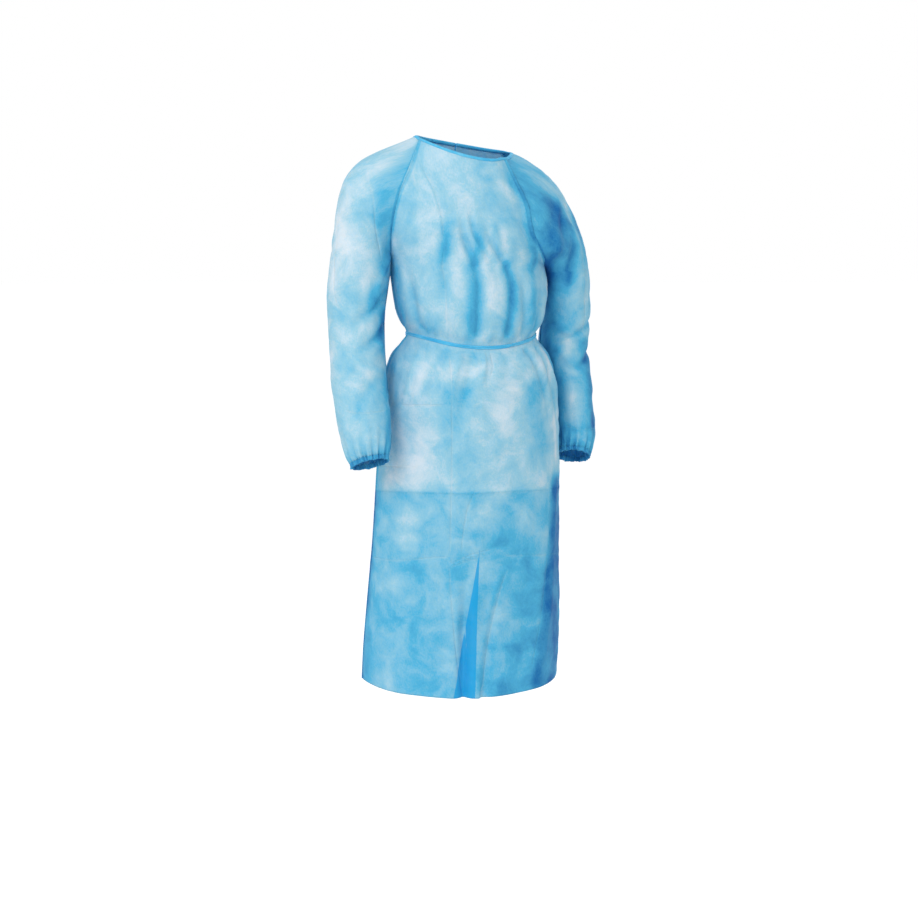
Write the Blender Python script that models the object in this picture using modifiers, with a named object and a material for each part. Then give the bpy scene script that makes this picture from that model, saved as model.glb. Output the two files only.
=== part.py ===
"""A disposable visitor gown, worn: raglan sleeves, bound neck, elastic cuffs, and a back opening.

Metres, +Z up. The front faces -Y and the wearer's left is +X. The origin is the middle of the neck
opening, level with the two points where the shoulders meet the neckline.

The cloth is laid out in rows, from the hem to the neckline and from the cuff to the neckline.
Each row is one section of the garment, made of Bezier arcs between points that the tables give.
"""

from collections import namedtuple

import bmesh
import bpy
import numpy as np

# Cloth and seams
CLOTH = 0.0012
SEAM_GAP = 0.0007
LAYER_LIFT = 0.0016
LAP_BLEND = 0.055

# Heights
HEM_Z = -1.138
BELT_LOW_Z = -0.402
BELT_HIGH_Z = -0.390
ARMPIT_Z = -0.255

# How finely the cloth is divided
FRONT_COLUMNS = 34
BACK_COLUMNS = 14
SLEEVE_COLUMNS = 20
GATHER_SPLIT = 3
ARC_STEPS = 48
CROWD_STEPS = 400
MERGE_WITHIN = 0.00005
ELLIPSE_HANDLE = 0.5523

# The front's columns crowd together around the pleat below its middle
PLEAT_CROWD = 2.6
PLEAT_CROWD_AT = 0.425
PLEAT_CROWD_WIDTH = 0.075

# Neck binding, folded over the edge
BIND_DEPTH = 0.008
BIND_WALL = 0.0010
BIND_GAP = 0.0010

# Waist tie, a tape folded small where it goes round; its section narrows outwards to BELT_CROWN
BELT_WIDTH = 0.0075
BELT_THICK = 0.0020
BELT_GAP = 0.0006
BELT_CROWN = 0.7

# The ends left over at the knots. Each is pinched at its knot and opens to its full width.
# The last five are shares: of the lift at the knot, of the knot's width, depth and width, and how
# many times over the tape has opened at its end
WAIST_END_WIDTH = 0.014
NECK_END_WIDTH = 0.009
TIE_THICK = 0.0012
TIE_LIFT = 0.0062
TIE_SEAT = 0.0003
TIE_LIFT_AT_KNOT = 0.6
TIE_ASIDE = 0.18
TIE_BEHIND = 0.12
TIE_PINCH = 0.24
TIE_OPENING = 3
WAIST_KNOT = (0.024, 0.013, 0.019)
NECK_KNOT = (0.016, 0.010, 0.013)
KNOT_ROUNDING = 0.3
KNOT_SEGMENTS = 2

# Where each tie end starts and ends, as shares of the right back's width, and the rows it runs over
End = namedtuple("End", "name sign top bottom last_row")
WAIST_ENDS = [
    End("waist_tie_end_left", 1, 0.825, 0.895, 8.3),
    End("waist_tie_end_right", -1, 0.775, 0.705, 7.4),
]
NECK_ENDS = [
    End("neck_tie_end_left", 1, 0.965, 0.925, 25.2),
    End("neck_tie_end_right", -1, 0.880, 0.790, 25.8),
]
Knot = namedtuple("Knot", "name place size")
WAIST_ENDS_ROW = 14.85
NECK_ENDS_ROW = 29.1
TIE_STATIONS = 14
KNOT_SHARE = 0.80

# Elastic cuffs
CUFF_WAVES = 15
CUFF_WAVE = 0.0030
CUFF_UNEVEN = 0.35
CUFF_UNEVEN_TURNS = 2
CUFF_UNEVEN_START = 1.0
CUFF_LENGTH = 0.009
CUFF_THICK = 0.0020
GATHER_REACH = 0.075
GATHER_SHARPNESS = 1.6
CUFF_BULGE = 0.02

# The middle that the shoulder's cloth is measured out from, and the reach over which rings level off
SHOULDER_CENTRE_X = 0.06
SHOULDER_CENTRE_Z = -0.12
LEVEL_REACH = 0.08
ARM_STEP = 0.012

# Where folds die away: the rows above the armpit, and how quickly they do so beside a seam
FADE_ROWS = 4
PANEL_FADE = 6
SLEEVE_FADE = 5
SLEEVE_CLOSED_BELOW = 0.02
MEAN_DEPTH = 0.15
LAP_ONSET = 0.012
SIDE_LEAN_REACH = 0.05

ROUGHNESS = 0.75

COLOURS = {
    "nonwoven": (0.24, 0.62, 0.82, 1.0),
    "binding": (0.08, 0.46, 0.76, 1.0),
}

Section = namedtuple("Section", "z half_width front back")
BODY = [
    Section(-1.138, 0.218, -0.182, 0.166),
    Section(-1.080, 0.218, -0.178, 0.165),
    Section(-0.970, 0.214, -0.172, 0.163),
    Section(-0.850, 0.208, -0.167, 0.161),
    Section(-0.700, 0.202, -0.162, 0.157),
    Section(-0.560, 0.194, -0.157, 0.152),
    Section(-0.500, 0.188, -0.154, 0.146),
    Section(-0.462, 0.180, -0.149, 0.138),
    Section(-0.436, 0.168, -0.140, 0.126),
    Section(-0.418, 0.153, -0.129, 0.113),
    Section(-0.402, 0.141, -0.121, 0.104),
    Section(-0.390, 0.141, -0.121, 0.104),
    Section(-0.374, 0.151, -0.130, 0.113),
    Section(-0.352, 0.160, -0.137, 0.119),
    Section(-0.320, 0.166, -0.140, 0.121),
    Section(-0.285, 0.170, -0.140, 0.120),
    Section(-0.255, 0.171, -0.138, 0.118),
]
SECTION_MIDDLE_Y = 0.004

BODY_ROWS = [
    -1.138, -1.095, -1.045, -0.990, -0.935, -0.880, -0.825, -0.765, -0.705, -0.645, -0.585,
    -0.535, -0.495, -0.462, -0.436, -0.418, -0.402, -0.390, -0.374, -0.352, -0.325, -0.295,
    -0.275, -0.255,
]

# Above the armpit, part runs from 0 at the armpit to 1 at the neckline
Yoke = namedtuple("Yoke", "part x y z")
FRONT_SEAM_RIGHT = [
    Yoke(0.0, 0.171, 0.010, -0.255),
    Yoke(0.2, 0.177, -0.020, -0.226),
    Yoke(0.4, 0.180, -0.052, -0.183),
    Yoke(0.6, 0.168, -0.070, -0.126),
    Yoke(0.8, 0.137, -0.055, -0.070),
    Yoke(1.0, 0.103, -0.014, -0.004),
]
FRONT_SEAM_LEFT = [
    Yoke(0.0, 0.171, 0.010, -0.255),
    Yoke(0.2, 0.137, -0.082, -0.224),
    Yoke(0.4, 0.106, -0.108, -0.176),
    Yoke(0.6, 0.096, -0.105, -0.116),
    Yoke(0.8, 0.080, -0.086, -0.066),
    Yoke(1.0, 0.067, -0.056, -0.019),
]
BACK_SEAM = [
    Yoke(0.0, 0.171, 0.010, -0.255),
    Yoke(0.2, 0.179, 0.058, -0.217),
    Yoke(0.4, 0.177, 0.090, -0.165),
    Yoke(0.6, 0.160, 0.101, -0.105),
    Yoke(0.8, 0.130, 0.084, -0.044),
    Yoke(1.0, 0.093, 0.050, 0.008),
]
FRONT_MIDDLE = [
    Yoke(0.0, 0.0, -0.138, -0.255),
    Yoke(0.2, 0.0, -0.139, -0.206),
    Yoke(0.4, 0.0, -0.137, -0.161),
    Yoke(0.6, 0.0, -0.128, -0.116),
    Yoke(0.8, 0.0, -0.110, -0.072),
    Yoke(1.0, 0.0, -0.087, -0.031),
]
BACK_MIDDLE = [
    Yoke(0.0, 0.0, 0.118, -0.255),
    Yoke(0.2, 0.0, 0.124, -0.200),
    Yoke(0.4, 0.0, 0.126, -0.148),
    Yoke(0.6, 0.0, 0.121, -0.095),
    Yoke(0.8, 0.0, 0.105, -0.042),
    Yoke(1.0, 0.0, 0.080, 0.010),
]
SHOULDER_RIGHT = [
    Yoke(0.00, 0.302, 0.010, -0.255),
    Yoke(0.12, 0.293, 0.010, -0.205),
    Yoke(0.25, 0.282, 0.010, -0.155),
    Yoke(0.40, 0.266, 0.011, -0.108),
    Yoke(0.55, 0.235, 0.013, -0.071),
    Yoke(0.70, 0.191, 0.016, -0.043),
    Yoke(0.85, 0.145, 0.019, -0.018),
    Yoke(1.00, 0.105, 0.021, 0.004),
]
SHOULDER_LEFT = [
    Yoke(0.00, 0.272, 0.010, -0.255),
    Yoke(0.12, 0.265, 0.016, -0.205),
    Yoke(0.25, 0.256, 0.021, -0.155),
    Yoke(0.40, 0.240, 0.024, -0.108),
    Yoke(0.55, 0.219, 0.025, -0.066),
    Yoke(0.70, 0.189, 0.024, -0.033),
    Yoke(0.85, 0.148, 0.022, -0.010),
    Yoke(1.00, 0.105, 0.021, 0.004),
]
YOKE_ROWS = [0.13, 0.27, 0.41, 0.55, 0.70, 0.85, 1.0]

# Which way the cloth leaves a raglan seam, and how strongly, for the panel and for the sleeve
Leave = namedtuple("Leave", "part panel_x panel_y panel_z panel_pull sleeve_x sleeve_y sleeve_z sleeve_pull")
FRONT_LEAVES_RIGHT = [
    Leave(0.0, 0.00, -1.00, 0.00, 0.082, 0.05, -1.00, 0.00, 0.093),
    Leave(0.2, -0.25, -0.97, 0.00, 0.075, 0.50, -0.86, 0.05, 0.078),
    Leave(0.4, -0.62, -0.78, 0.02, 0.070, 0.80, -0.55, 0.18, 0.060),
    Leave(0.6, -0.86, -0.50, -0.04, 0.060, 0.92, -0.05, 0.34, 0.044),
    Leave(0.8, -0.86, -0.48, -0.16, 0.050, 0.80, 0.40, 0.36, 0.028),
    Leave(1.0, -0.14, -0.96, -0.22, 0.042, 0.02, 0.99, 0.14, 0.010),
]
FRONT_LEAVES_LEFT = [
    Leave(0.0, 0.00, -1.00, 0.00, 0.082, 0.05, -1.00, 0.00, 0.070),
    Leave(0.2, -0.85, -0.52, 0.00, 0.045, 0.88, -0.40, 0.05, 0.060),
    Leave(0.4, -0.98, -0.20, 0.00, 0.035, 0.98, 0.02, 0.06, 0.060),
    Leave(0.6, -0.98, -0.20, 0.00, 0.032, 0.95, 0.12, 0.24, 0.050),
    Leave(0.8, -0.95, -0.30, -0.03, 0.028, 0.86, 0.38, 0.32, 0.040),
    Leave(1.0, -0.84, -0.53, -0.08, 0.026, 0.62, 0.76, 0.16, 0.028),
]
BACK_LEAVES = [
    Leave(0.0, 0.00, 1.00, 0.00, 0.060, 0.05, 1.00, 0.00, 0.093),
    Leave(0.2, -0.45, 0.89, 0.00, 0.055, 0.60, 0.78, 0.10, 0.070),
    Leave(0.4, -0.90, 0.40, 0.02, 0.060, 0.90, 0.28, 0.22, 0.046),
    Leave(0.6, -0.96, 0.24, -0.04, 0.055, 0.92, -0.08, 0.34, 0.040),
    Leave(0.8, -0.88, 0.42, -0.05, 0.045, 0.80, -0.40, 0.34, 0.028),
    Leave(1.0, -0.62, 0.78, 0.04, 0.030, 0.30, -0.94, -0.05, 0.010),
]
# How far the shoulder line's and the middles' handles reach, from the armpit to the neckline
Handle = namedtuple("Handle", "part shoulder middle")
HANDLES = [
    Handle(0.0, 0.093, 0.093),
    Handle(0.2, 0.072, 0.090),
    Handle(0.4, 0.052, 0.080),
    Handle(0.6, 0.042, 0.068),
    Handle(0.8, 0.030, 0.058),
    Handle(1.0, 0.010, 0.052),
]

# The sleeves below the armpit: ring centres from the body's middle, and each ring's half sizes
Ring = namedtuple("Ring", "z x y across deep")
RIGHT_ARM = [
    Ring(-0.255, 0.2360, 0.010, 0.0650, 0.0720),
    Ring(-0.300, 0.2440, 0.012, 0.0640, 0.0690),
    Ring(-0.360, 0.2500, 0.008, 0.0595, 0.0650),
    Ring(-0.420, 0.2525, -0.008, 0.0585, 0.0620),
    Ring(-0.480, 0.2540, -0.036, 0.0585, 0.0600),
    Ring(-0.540, 0.2535, -0.066, 0.0565, 0.0580),
    Ring(-0.590, 0.2510, -0.089, 0.0535, 0.0555),
    Ring(-0.620, 0.2490, -0.101, 0.0490, 0.0515),
    Ring(-0.641, 0.2470, -0.109, 0.0430, 0.0450),
    Ring(-0.651, 0.2455, -0.113, 0.0375, 0.0390),
]
LEFT_ARM = [
    Ring(-0.255, 0.2215, 0.010, 0.0505, 0.0720),
    Ring(-0.300, 0.2255, 0.028, 0.0515, 0.0690),
    Ring(-0.360, 0.2290, 0.040, 0.0540, 0.0650),
    Ring(-0.420, 0.2265, 0.048, 0.0545, 0.0620),
    Ring(-0.480, 0.2360, 0.046, 0.0505, 0.0600),
    Ring(-0.540, 0.2445, 0.038, 0.0490, 0.0580),
    Ring(-0.595, 0.2480, 0.026, 0.0475, 0.0550),
    Ring(-0.628, 0.2470, 0.016, 0.0440, 0.0520),
    Ring(-0.650, 0.2435, 0.008, 0.0400, 0.0450),
    Ring(-0.661, 0.2410, 0.003, 0.0365, 0.0385),
]
# Rows down the sleeve, as shares of its length below the armpit, and those the elastic gathers
SLEEVE_ROWS = [0.055, 0.120, 0.216, 0.324, 0.420, 0.504, 0.588, 0.683, 0.775]
GATHER_ROWS = [0.839, 0.899, 0.952, 1.0]

# The stance: sideways shift, how far the wearer's left drops for each metre sideways, and how far
# the front droops in the middle
Stance = namedtuple("Stance", "z shift drop droop")
STANCE = [
    Stance(-1.140, -0.012, 0.000, 0.012),
    Stance(-0.850, 0.002, 0.000, 0.007),
    Stance(-0.600, 0.010, 0.000, 0.006),
    Stance(-0.460, 0.013, 0.000, 0.018),
    Stance(-0.396, 0.014, 0.010, 0.026),
    Stance(-0.330, 0.013, 0.025, 0.016),
    Stance(-0.255, 0.011, 0.045, 0.004),
    Stance(-0.120, 0.007, 0.110, 0.000),
    Stance(-0.050, 0.004, 0.140, 0.000),
    Stance(0.030, 0.002, 0.150, 0.000),
]

# How far each back panel laps past the middle
Lap = namedtuple("Lap", "z past")
LAPS = [
    Lap(-1.140, 0.070),
    Lap(-0.600, 0.066),
    Lap(-0.400, 0.058),
    Lap(-0.250, 0.036),
    Lap(-0.120, 0.016),
    Lap(-0.040, 0.003),
    Lap(0.030, -0.004),
]

# Folds: girth is 0 at the middle of the front, 0.5 at a side seam and 1 at the middle of the back,
# towards the wearer's left. A soft end is the share of the fold's length over which it fades.
# A negative depth is a trough.
Fold = namedtuple("Fold", "girth_top z_top girth_bottom z_bottom width depth soft_top soft_bottom")
FOLDS = [
    # below the chest, gathered in by the waist tie
    Fold(-0.105, -0.150, -0.225, -0.345, 0.013, -0.0060, 0.35, 0.30),
    Fold(-0.012, -0.140, -0.055, -0.387, 0.014, -0.0095, 0.30, 0.08),
    Fold(0.040, -0.140, 0.052, -0.250, 0.008, -0.0050, 0.30, 0.45),
    Fold(0.130, -0.165, 0.095, -0.387, 0.012, -0.0080, 0.30, 0.08),
    Fold(0.160, -0.250, 0.190, -0.387, 0.011, -0.0060, 0.40, 0.08),
    Fold(0.300, -0.280, 0.290, -0.387, 0.013, -0.0060, 0.40, 0.08),
    Fold(-0.370, -0.250, -0.340, -0.387, 0.016, -0.0060, 0.40, 0.08),
    Fold(0.450, -0.290, 0.440, -0.387, 0.014, -0.0050, 0.40, 0.08),
    # the skirt below the waist tie
    Fold(-0.200, -0.406, -0.300, -0.560, 0.012, -0.0045, 0.06, 0.60),
    Fold(-0.070, -0.406, -0.140, -0.640, 0.014, -0.0055, 0.06, 0.60),
    Fold(0.215, -0.406, 0.300, -0.600, 0.012, -0.0060, 0.06, 0.60),
    Fold(0.300, -0.406, 0.380, -0.640, 0.012, -0.0060, 0.06, 0.60),
    Fold(0.400, -0.406, 0.450, -0.620, 0.012, -0.0050, 0.06, 0.60),
    # the pleat above the hem, its two ridges and the fold beside it
    Fold(-0.080, -0.860, -0.066, -1.140, 0.0095, -0.0190, 0.60, 0.00),
    Fold(-0.126, -0.850, -0.102, -1.140, 0.012, 0.0050, 0.50, 0.00),
    Fold(-0.036, -0.850, -0.030, -1.140, 0.012, 0.0060, 0.50, 0.00),
    Fold(0.030, -0.880, 0.004, -1.140, 0.011, -0.0050, 0.50, 0.00),
    # long soft waves down the skirt
    Fold(0.230, -0.640, 0.240, -1.140, 0.040, 0.0060, 0.50, 0.00),
    Fold(-0.300, -0.700, -0.310, -1.140, 0.045, 0.0060, 0.50, 0.00),
    Fold(0.560, -0.560, 0.570, -1.140, 0.030, -0.0080, 0.50, 0.00),
    Fold(0.740, -0.480, 0.735, -1.140, 0.030, -0.0100, 0.40, 0.00),
    Fold(-0.570, -0.560, -0.575, -1.140, 0.030, -0.0080, 0.50, 0.00),
    Fold(-0.740, -0.480, -0.745, -1.140, 0.030, -0.0090, 0.40, 0.00),
    # the back, gathered at the waist tie
    Fold(0.620, -0.240, 0.640, -0.387, 0.014, -0.0060, 0.45, 0.08),
    Fold(0.790, -0.220, 0.770, -0.387, 0.014, -0.0070, 0.45, 0.08),
    Fold(-0.620, -0.230, -0.640, -0.387, 0.014, -0.0060, 0.45, 0.08),
    Fold(-0.780, -0.210, -0.760, -0.387, 0.014, -0.0070, 0.45, 0.08),
    Fold(0.650, -0.406, 0.600, -0.600, 0.014, -0.0060, 0.06, 0.60),
    Fold(0.800, -0.406, 0.840, -0.600, 0.014, -0.0060, 0.06, 0.60),
    Fold(-0.660, -0.406, -0.610, -0.600, 0.014, -0.0060, 0.06, 0.60),
    Fold(-0.820, -0.406, -0.850, -0.600, 0.014, -0.0060, 0.06, 0.60),
]

# Sleeve folds: turn runs from 0 at the underarm seam, over the front, to 1
Crease = namedtuple("Crease", "turn_top z_top turn_bottom z_bottom width depth soft_top soft_bottom")
RIGHT_CREASES = [
    Crease(0.60, -0.160, 0.54, -0.330, 0.018, -0.0040, 0.40, 0.50),
    Crease(0.05, -0.300, 0.40, -0.415, 0.018, -0.0060, 0.20, 0.60),
    Crease(0.02, -0.370, 0.34, -0.450, 0.018, -0.0060, 0.15, 0.60),
    Crease(0.98, -0.350, 0.66, -0.420, 0.018, -0.0050, 0.20, 0.60),
    Crease(0.16, -0.470, 0.40, -0.580, 0.018, -0.0040, 0.30, 0.50),
    Crease(0.80, -0.480, 0.62, -0.600, 0.018, -0.0040, 0.40, 0.50),
]
LEFT_CREASES = [
    Crease(0.25, -0.050, 0.17, -0.330, 0.019, -0.0090, 0.40, 0.40),
    Crease(0.40, -0.080, 0.34, -0.260, 0.018, -0.0050, 0.40, 0.50),
    Crease(0.55, -0.345, 0.16, -0.420, 0.018, -0.0065, 0.30, 0.40),
    Crease(0.58, -0.410, 0.20, -0.490, 0.018, -0.0065, 0.30, 0.40),
    Crease(0.95, -0.360, 0.70, -0.430, 0.018, -0.0050, 0.20, 0.60),
    Crease(0.48, -0.520, 0.36, -0.620, 0.018, -0.0050, 0.30, 0.40),
]


def smooth(table, name, key):
    """One column of a table as a smooth function of its key column."""
    rows = sorted(table, key=lambda row: getattr(row, key))
    x = np.array([getattr(row, key) for row in rows])
    y = np.array([getattr(row, name) for row in rows])
    slope = np.gradient(y, x)

    def value(at):
        at = np.clip(np.asarray(at, float), x[0], x[-1])
        low = np.clip(np.searchsorted(x, at, side="right") - 1, 0, len(x) - 2)
        step = x[low + 1] - x[low]
        s = (at - x[low]) / step
        start = (1 + 2 * s) * (1 - s) ** 2 * y[low] + s * (1 - s) ** 2 * step * slope[low]
        end = s**2 * (3 - 2 * s) * y[low + 1] + s**2 * (s - 1) * step * slope[low + 1]
        return start + end

    return value


def path_of(table):
    """A table of points as a function from its part to a point."""
    x, y, z = (smooth(table, name, "part") for name in "xyz")
    return lambda part: np.array([x(part), y(part), z(part)])


def leaves_of(table, piece):
    """The handle with which a panel or sleeve leaves its seam, as a function of part."""
    across = [smooth(table, f"{piece}_{axis}", "part") for axis in "xyz"]
    pull = smooth(table, f"{piece}_pull", "part")

    def handle(part):
        direction = np.array([value(part) for value in across])
        return direction / np.linalg.norm(direction) * pull(part)

    return handle


def front_leaves(piece):
    """The front's handles for the panel or the sleeve, by side."""
    return {1: leaves_of(FRONT_LEAVES_LEFT, piece), -1: leaves_of(FRONT_LEAVES_RIGHT, piece)}


half_width = smooth(BODY, "half_width", "z")
front_depth = smooth(BODY, "front", "z")
back_depth = smooth(BODY, "back", "z")
shift_of = smooth(STANCE, "shift", "z")
drop_of = smooth(STANCE, "drop", "z")
droop_of = smooth(STANCE, "droop", "z")
lap_of = smooth(LAPS, "past", "z")
front_seam = {1: path_of(FRONT_SEAM_LEFT), -1: path_of(FRONT_SEAM_RIGHT)}
back_seam = path_of(BACK_SEAM)
front_middle, back_middle = path_of(FRONT_MIDDLE), path_of(BACK_MIDDLE)
shoulder_line = {1: path_of(SHOULDER_LEFT), -1: path_of(SHOULDER_RIGHT)}
shoulder_handle = smooth(HANDLES, "shoulder", "part")
middle_handle = smooth(HANDLES, "middle", "part")


def ramp(s):
    """0 to 1, with soft ends."""
    s = np.clip(s, 0, 1)
    return s * s * (3 - 2 * s)


def bezier(start, leave, arrive, end):
    """Points along a cubic arc. leave and arrive are its handles, as offsets from its ends."""
    s = np.linspace(0, 1, ARC_STEPS + 1)[:, None]
    a, b, c, d = start, start + leave, end + arrive, end
    return (1 - s) ** 3 * a + 3 * s * (1 - s) ** 2 * b + 3 * s**2 * (1 - s) * c + s**3 * d


def mirrored(points):
    """The same points on the wearer's other side."""
    return points * np.array([-1, 1, 1])


def lengths_along(points):
    return np.concatenate([[0], np.cumsum(np.linalg.norm(np.diff(points, axis=0), axis=1))])


def spaced(points, distances):
    """Points at these distances along a line of points."""
    along = lengths_along(points)
    return np.stack([np.interp(distances, along, points[:, axis]) for axis in range(3)], axis=1)


def quarter_of_section(z, depth):
    """A body section's quarter, from the wearer's left side to its front or back middle."""
    wide = float(half_width(z))
    side = np.array([wide, side_y(z), z])
    middle = np.array([0, depth, z])
    forward = np.array([0, depth - side[1], 0]) * ELLIPSE_HANDLE
    return bezier(side, forward, np.array([wide * ELLIPSE_HANDLE, 0, 0]), middle)


def side_y(z):
    """The side seam leans back a little, up to the armpit."""
    up = ramp((z - (ARMPIT_Z - SIDE_LEAN_REACH)) / SIDE_LEAN_REACH)
    return SECTION_MIDDLE_Y + (BACK_SEAM[0].y - SECTION_MIDDLE_Y) * up


def quarter_of_yoke(part, seam, middle, leaves):
    """Half of a panel's row above the armpit, from the wearer's left seam to the middle."""
    inward = np.array([float(middle_handle(part)), 0, 0])
    return bezier(seam(part), leaves(part), inward, middle(part))


def half_rows(depth, seam, middle, leaves):
    """A panel's rows from the hem to the neckline, each from the wearer's left to the middle."""
    rows = [quarter_of_section(z, float(depth(z))) for z in BODY_ROWS]
    rows += [quarter_of_yoke(part, seam, middle, leaves) for part in YOKE_ROWS]
    return rows


def fold_depth(table, across, z, metres_across):
    """How far the folds move the cloth out, at places across and z on it."""
    depth = np.zeros_like(z)
    for fold in table:
        down = (z - fold[1]) / (fold[3] - fold[1])
        line = fold[0] + (fold[2] - fold[0]) * np.clip(down, 0, 1)
        apart = (across - line) * metres_across
        fade_in = ramp(down / fold.soft_top)
        fade_out = ramp((1 - down) / fold.soft_bottom) if fold.soft_bottom else 1.0
        depth += fold.depth * np.exp(-((apart / fold.width) ** 2)) * fade_in * fade_out
    return depth


def body_out(points):
    """The level direction out of the body at these points."""
    wide = half_width(points[..., 2])
    deep = np.where(
        points[..., 1] < SECTION_MIDDLE_Y, front_depth(points[..., 2]), back_depth(points[..., 2])
    )
    out = np.stack(
        [points[..., 0] / wide**2, (points[..., 1] - SECTION_MIDDLE_Y) / deep**2, np.zeros_like(wide)],
        axis=-1,
    )
    return out / np.linalg.norm(out, axis=-1, keepdims=True)


def with_stance(points, girth=None):
    """Points moved from the upright pattern to the wearer's stance."""
    x, y, z = points[..., 0], points[..., 1], points[..., 2]
    moved_x = x + shift_of(z)
    moved_z = z - drop_of(z) * x
    if girth is not None:
        ahead = np.cos(np.pi * np.clip(girth, -0.5, 0.5)) ** 2
        moved_z = moved_z - droop_of(z) * ahead
    return np.stack([moved_x, y, moved_z], axis=-1)


def folded(points, girth, fade):
    """A body panel's points with the folds put in, in the wearer's stance."""
    half_girth = np.pi * (half_width(points[..., 2]) + MEAN_DEPTH) / 2
    depth = fold_depth(FOLDS, girth, points[..., 2], half_girth) * fade
    return with_stance(points + body_out(points) * depth[..., None], girth)


def seam_fade(row, edge_share):
    """Folds die away towards the raglan seams, above the armpit."""
    above = max(0, row - len(BODY_ROWS) + FADE_ROWS) / FADE_ROWS
    return 1 - np.clip(above, 0, 1) * (1 - ramp(edge_share * PANEL_FADE))


def crowded(columns):
    """Shares of the front's width, closer together around the pleat."""
    share = np.linspace(0, 1, CROWD_STEPS)
    weight = 1 + PLEAT_CROWD * np.exp(-(((share - PLEAT_CROWD_AT) / PLEAT_CROWD_WIDTH) ** 2))
    total = np.concatenate([[0], np.cumsum((weight[1:] + weight[:-1]) / 2)])
    return np.interp(np.linspace(0, total[-1], columns + 1), total, share)


def front_grid():
    """The front panel's points, by row and by column from the wearer's right to left."""
    share = crowded(FRONT_COLUMNS)
    rows, girths, fades = [], [], []
    right = half_rows(front_depth, front_seam[-1], front_middle, front_leaves("panel")[-1])
    left = half_rows(front_depth, front_seam[1], front_middle, front_leaves("panel")[1])
    for number, halves in enumerate(zip(right, left)):
        whole = np.concatenate([mirrored(halves[0]), halves[1][-2::-1]])
        length = lengths_along(whole)[-1]
        rows.append(spaced(whole, share * length))
        girths.append(share - 0.5)
        fades.append(seam_fade(number, np.minimum(share, 1 - share)))
    return folded(np.array(rows), np.array(girths), np.array(fades))


def back_grid(side):
    """A back panel's points, by row and by column from its side to its free edge.

    side is 1 for the wearer's left, which lies under, and -1 for the right, which laps over.
    """
    rows, girths, fades, lifts = [], [], [], []
    for number, half in enumerate(half_rows(back_depth, back_seam, back_middle,
                                            leaves_of(BACK_LEAVES, "panel"))):
        whole = np.concatenate([half, mirrored(half)[-2::-1]])
        middle = lengths_along(half)[-1]
        past = float(lap_of(half[-1][2]))
        distance = np.linspace(0, 1, BACK_COLUMNS + 1) * (middle + past)
        lapped = ramp((distance - (middle - past - LAP_BLEND)) / LAP_BLEND)
        rows.append(spaced(whole, distance))
        girths.append(0.5 + 0.5 * distance / middle)
        fades.append(seam_fade(number, distance / middle))
        lifts.append(-side * LAYER_LIFT * lapped * ramp(past / LAP_ONSET + 1))
    points, girth = np.array(rows), np.array(girths)
    if side < 0:
        points, girth = mirrored(points), -girth
    points = points + body_out(points) * np.array(lifts)[..., None]
    wrapped = (girth + 1) % 2 - 1
    return folded(points, wrapped, np.array(fades))


def arm_frame(arm, z):
    """A sleeve ring's centre, and its directions across and deep, at this height."""
    x, y = smooth(arm, "x", "z"), smooth(arm, "y", "z")
    centre = np.array([x(z), y(z), z])
    low, high = max(z - ARM_STEP, arm[-1].z), min(z + ARM_STEP, ARMPIT_Z)
    along = np.array([x(high) - x(low), y(high) - y(low), high - low])
    along /= np.linalg.norm(along)
    level = ramp((ARMPIT_Z - z) / LEVEL_REACH)
    along = along * level + np.array([0, 0, 1]) * (1 - level)
    along /= np.linalg.norm(along)
    across = np.cross(np.array([0, 1, 0]), along)
    across /= np.linalg.norm(across)
    return centre, across, np.cross(along, across), along


def sleeve_ring(arm, z, columns):
    """A ring of the sleeve, from the underarm over the front and round to the underarm again."""
    centre, across, deep, _ = arm_frame(arm, z)
    half_across = float(smooth(arm, "across", "z")(z))
    half_deep = float(smooth(arm, "deep", "z")(z))
    angle = np.linspace(0, 2 * np.pi, columns + 1)
    return (centre - across * (np.cos(angle) * half_across)[:, None]
            - deep * (np.sin(angle) * half_deep)[:, None])


def sleeve_cap(part, side):
    """A row of the sleeve above the armpit, from the front seam over the shoulder to the back."""
    front_leave = front_leaves("sleeve")[side](part)
    back_leave = leaves_of(BACK_LEAVES, "sleeve")(part)
    forward = np.array([0, -float(shoulder_handle(part)), 0])
    top = shoulder_line[side](part)
    front = bezier(front_seam[side](part), front_leave, forward, top)
    back = bezier(top, -forward, back_leave, back_seam(part))
    halves = [spaced(half, np.linspace(0, lengths_along(half)[-1], SLEEVE_COLUMNS // 2 + 1))
              for half in (front, back)]
    return np.concatenate([halves[0], halves[1][1:]])


def sleeve_heights(arm, shares):
    """The heights of rows at these shares of the sleeve's length below the armpit."""
    return [ARMPIT_Z + (arm[-1].z - ARMPIT_Z) * share for share in shares]


def gather(z, arm):
    """How strongly the elastic gathers the sleeve at this height, from 0 to 1."""
    return np.clip((arm[-1].z + GATHER_REACH - z) / GATHER_REACH, 0, 1) ** GATHER_SHARPNESS


def sleeve_rows(arm, creases, side):
    """The sleeve's rows from the neckline to the elastic, the last ones finer."""
    coarse = [sleeve_cap(part, side) for part in reversed(YOKE_ROWS)]
    coarse.append(sleeve_ring(arm, ARMPIT_Z, SLEEVE_COLUMNS))
    coarse += [sleeve_ring(arm, z, SLEEVE_COLUMNS) for z in sleeve_heights(arm, SLEEVE_ROWS)]
    fine_columns = SLEEVE_COLUMNS * GATHER_SPLIT
    fine = [sleeve_ring(arm, z, fine_columns) for z in sleeve_heights(arm, GATHER_ROWS)]
    return ([creased(row, arm, creases) for row in coarse],
            [gathered(creased(row, arm, creases), arm) for row in fine])


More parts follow.
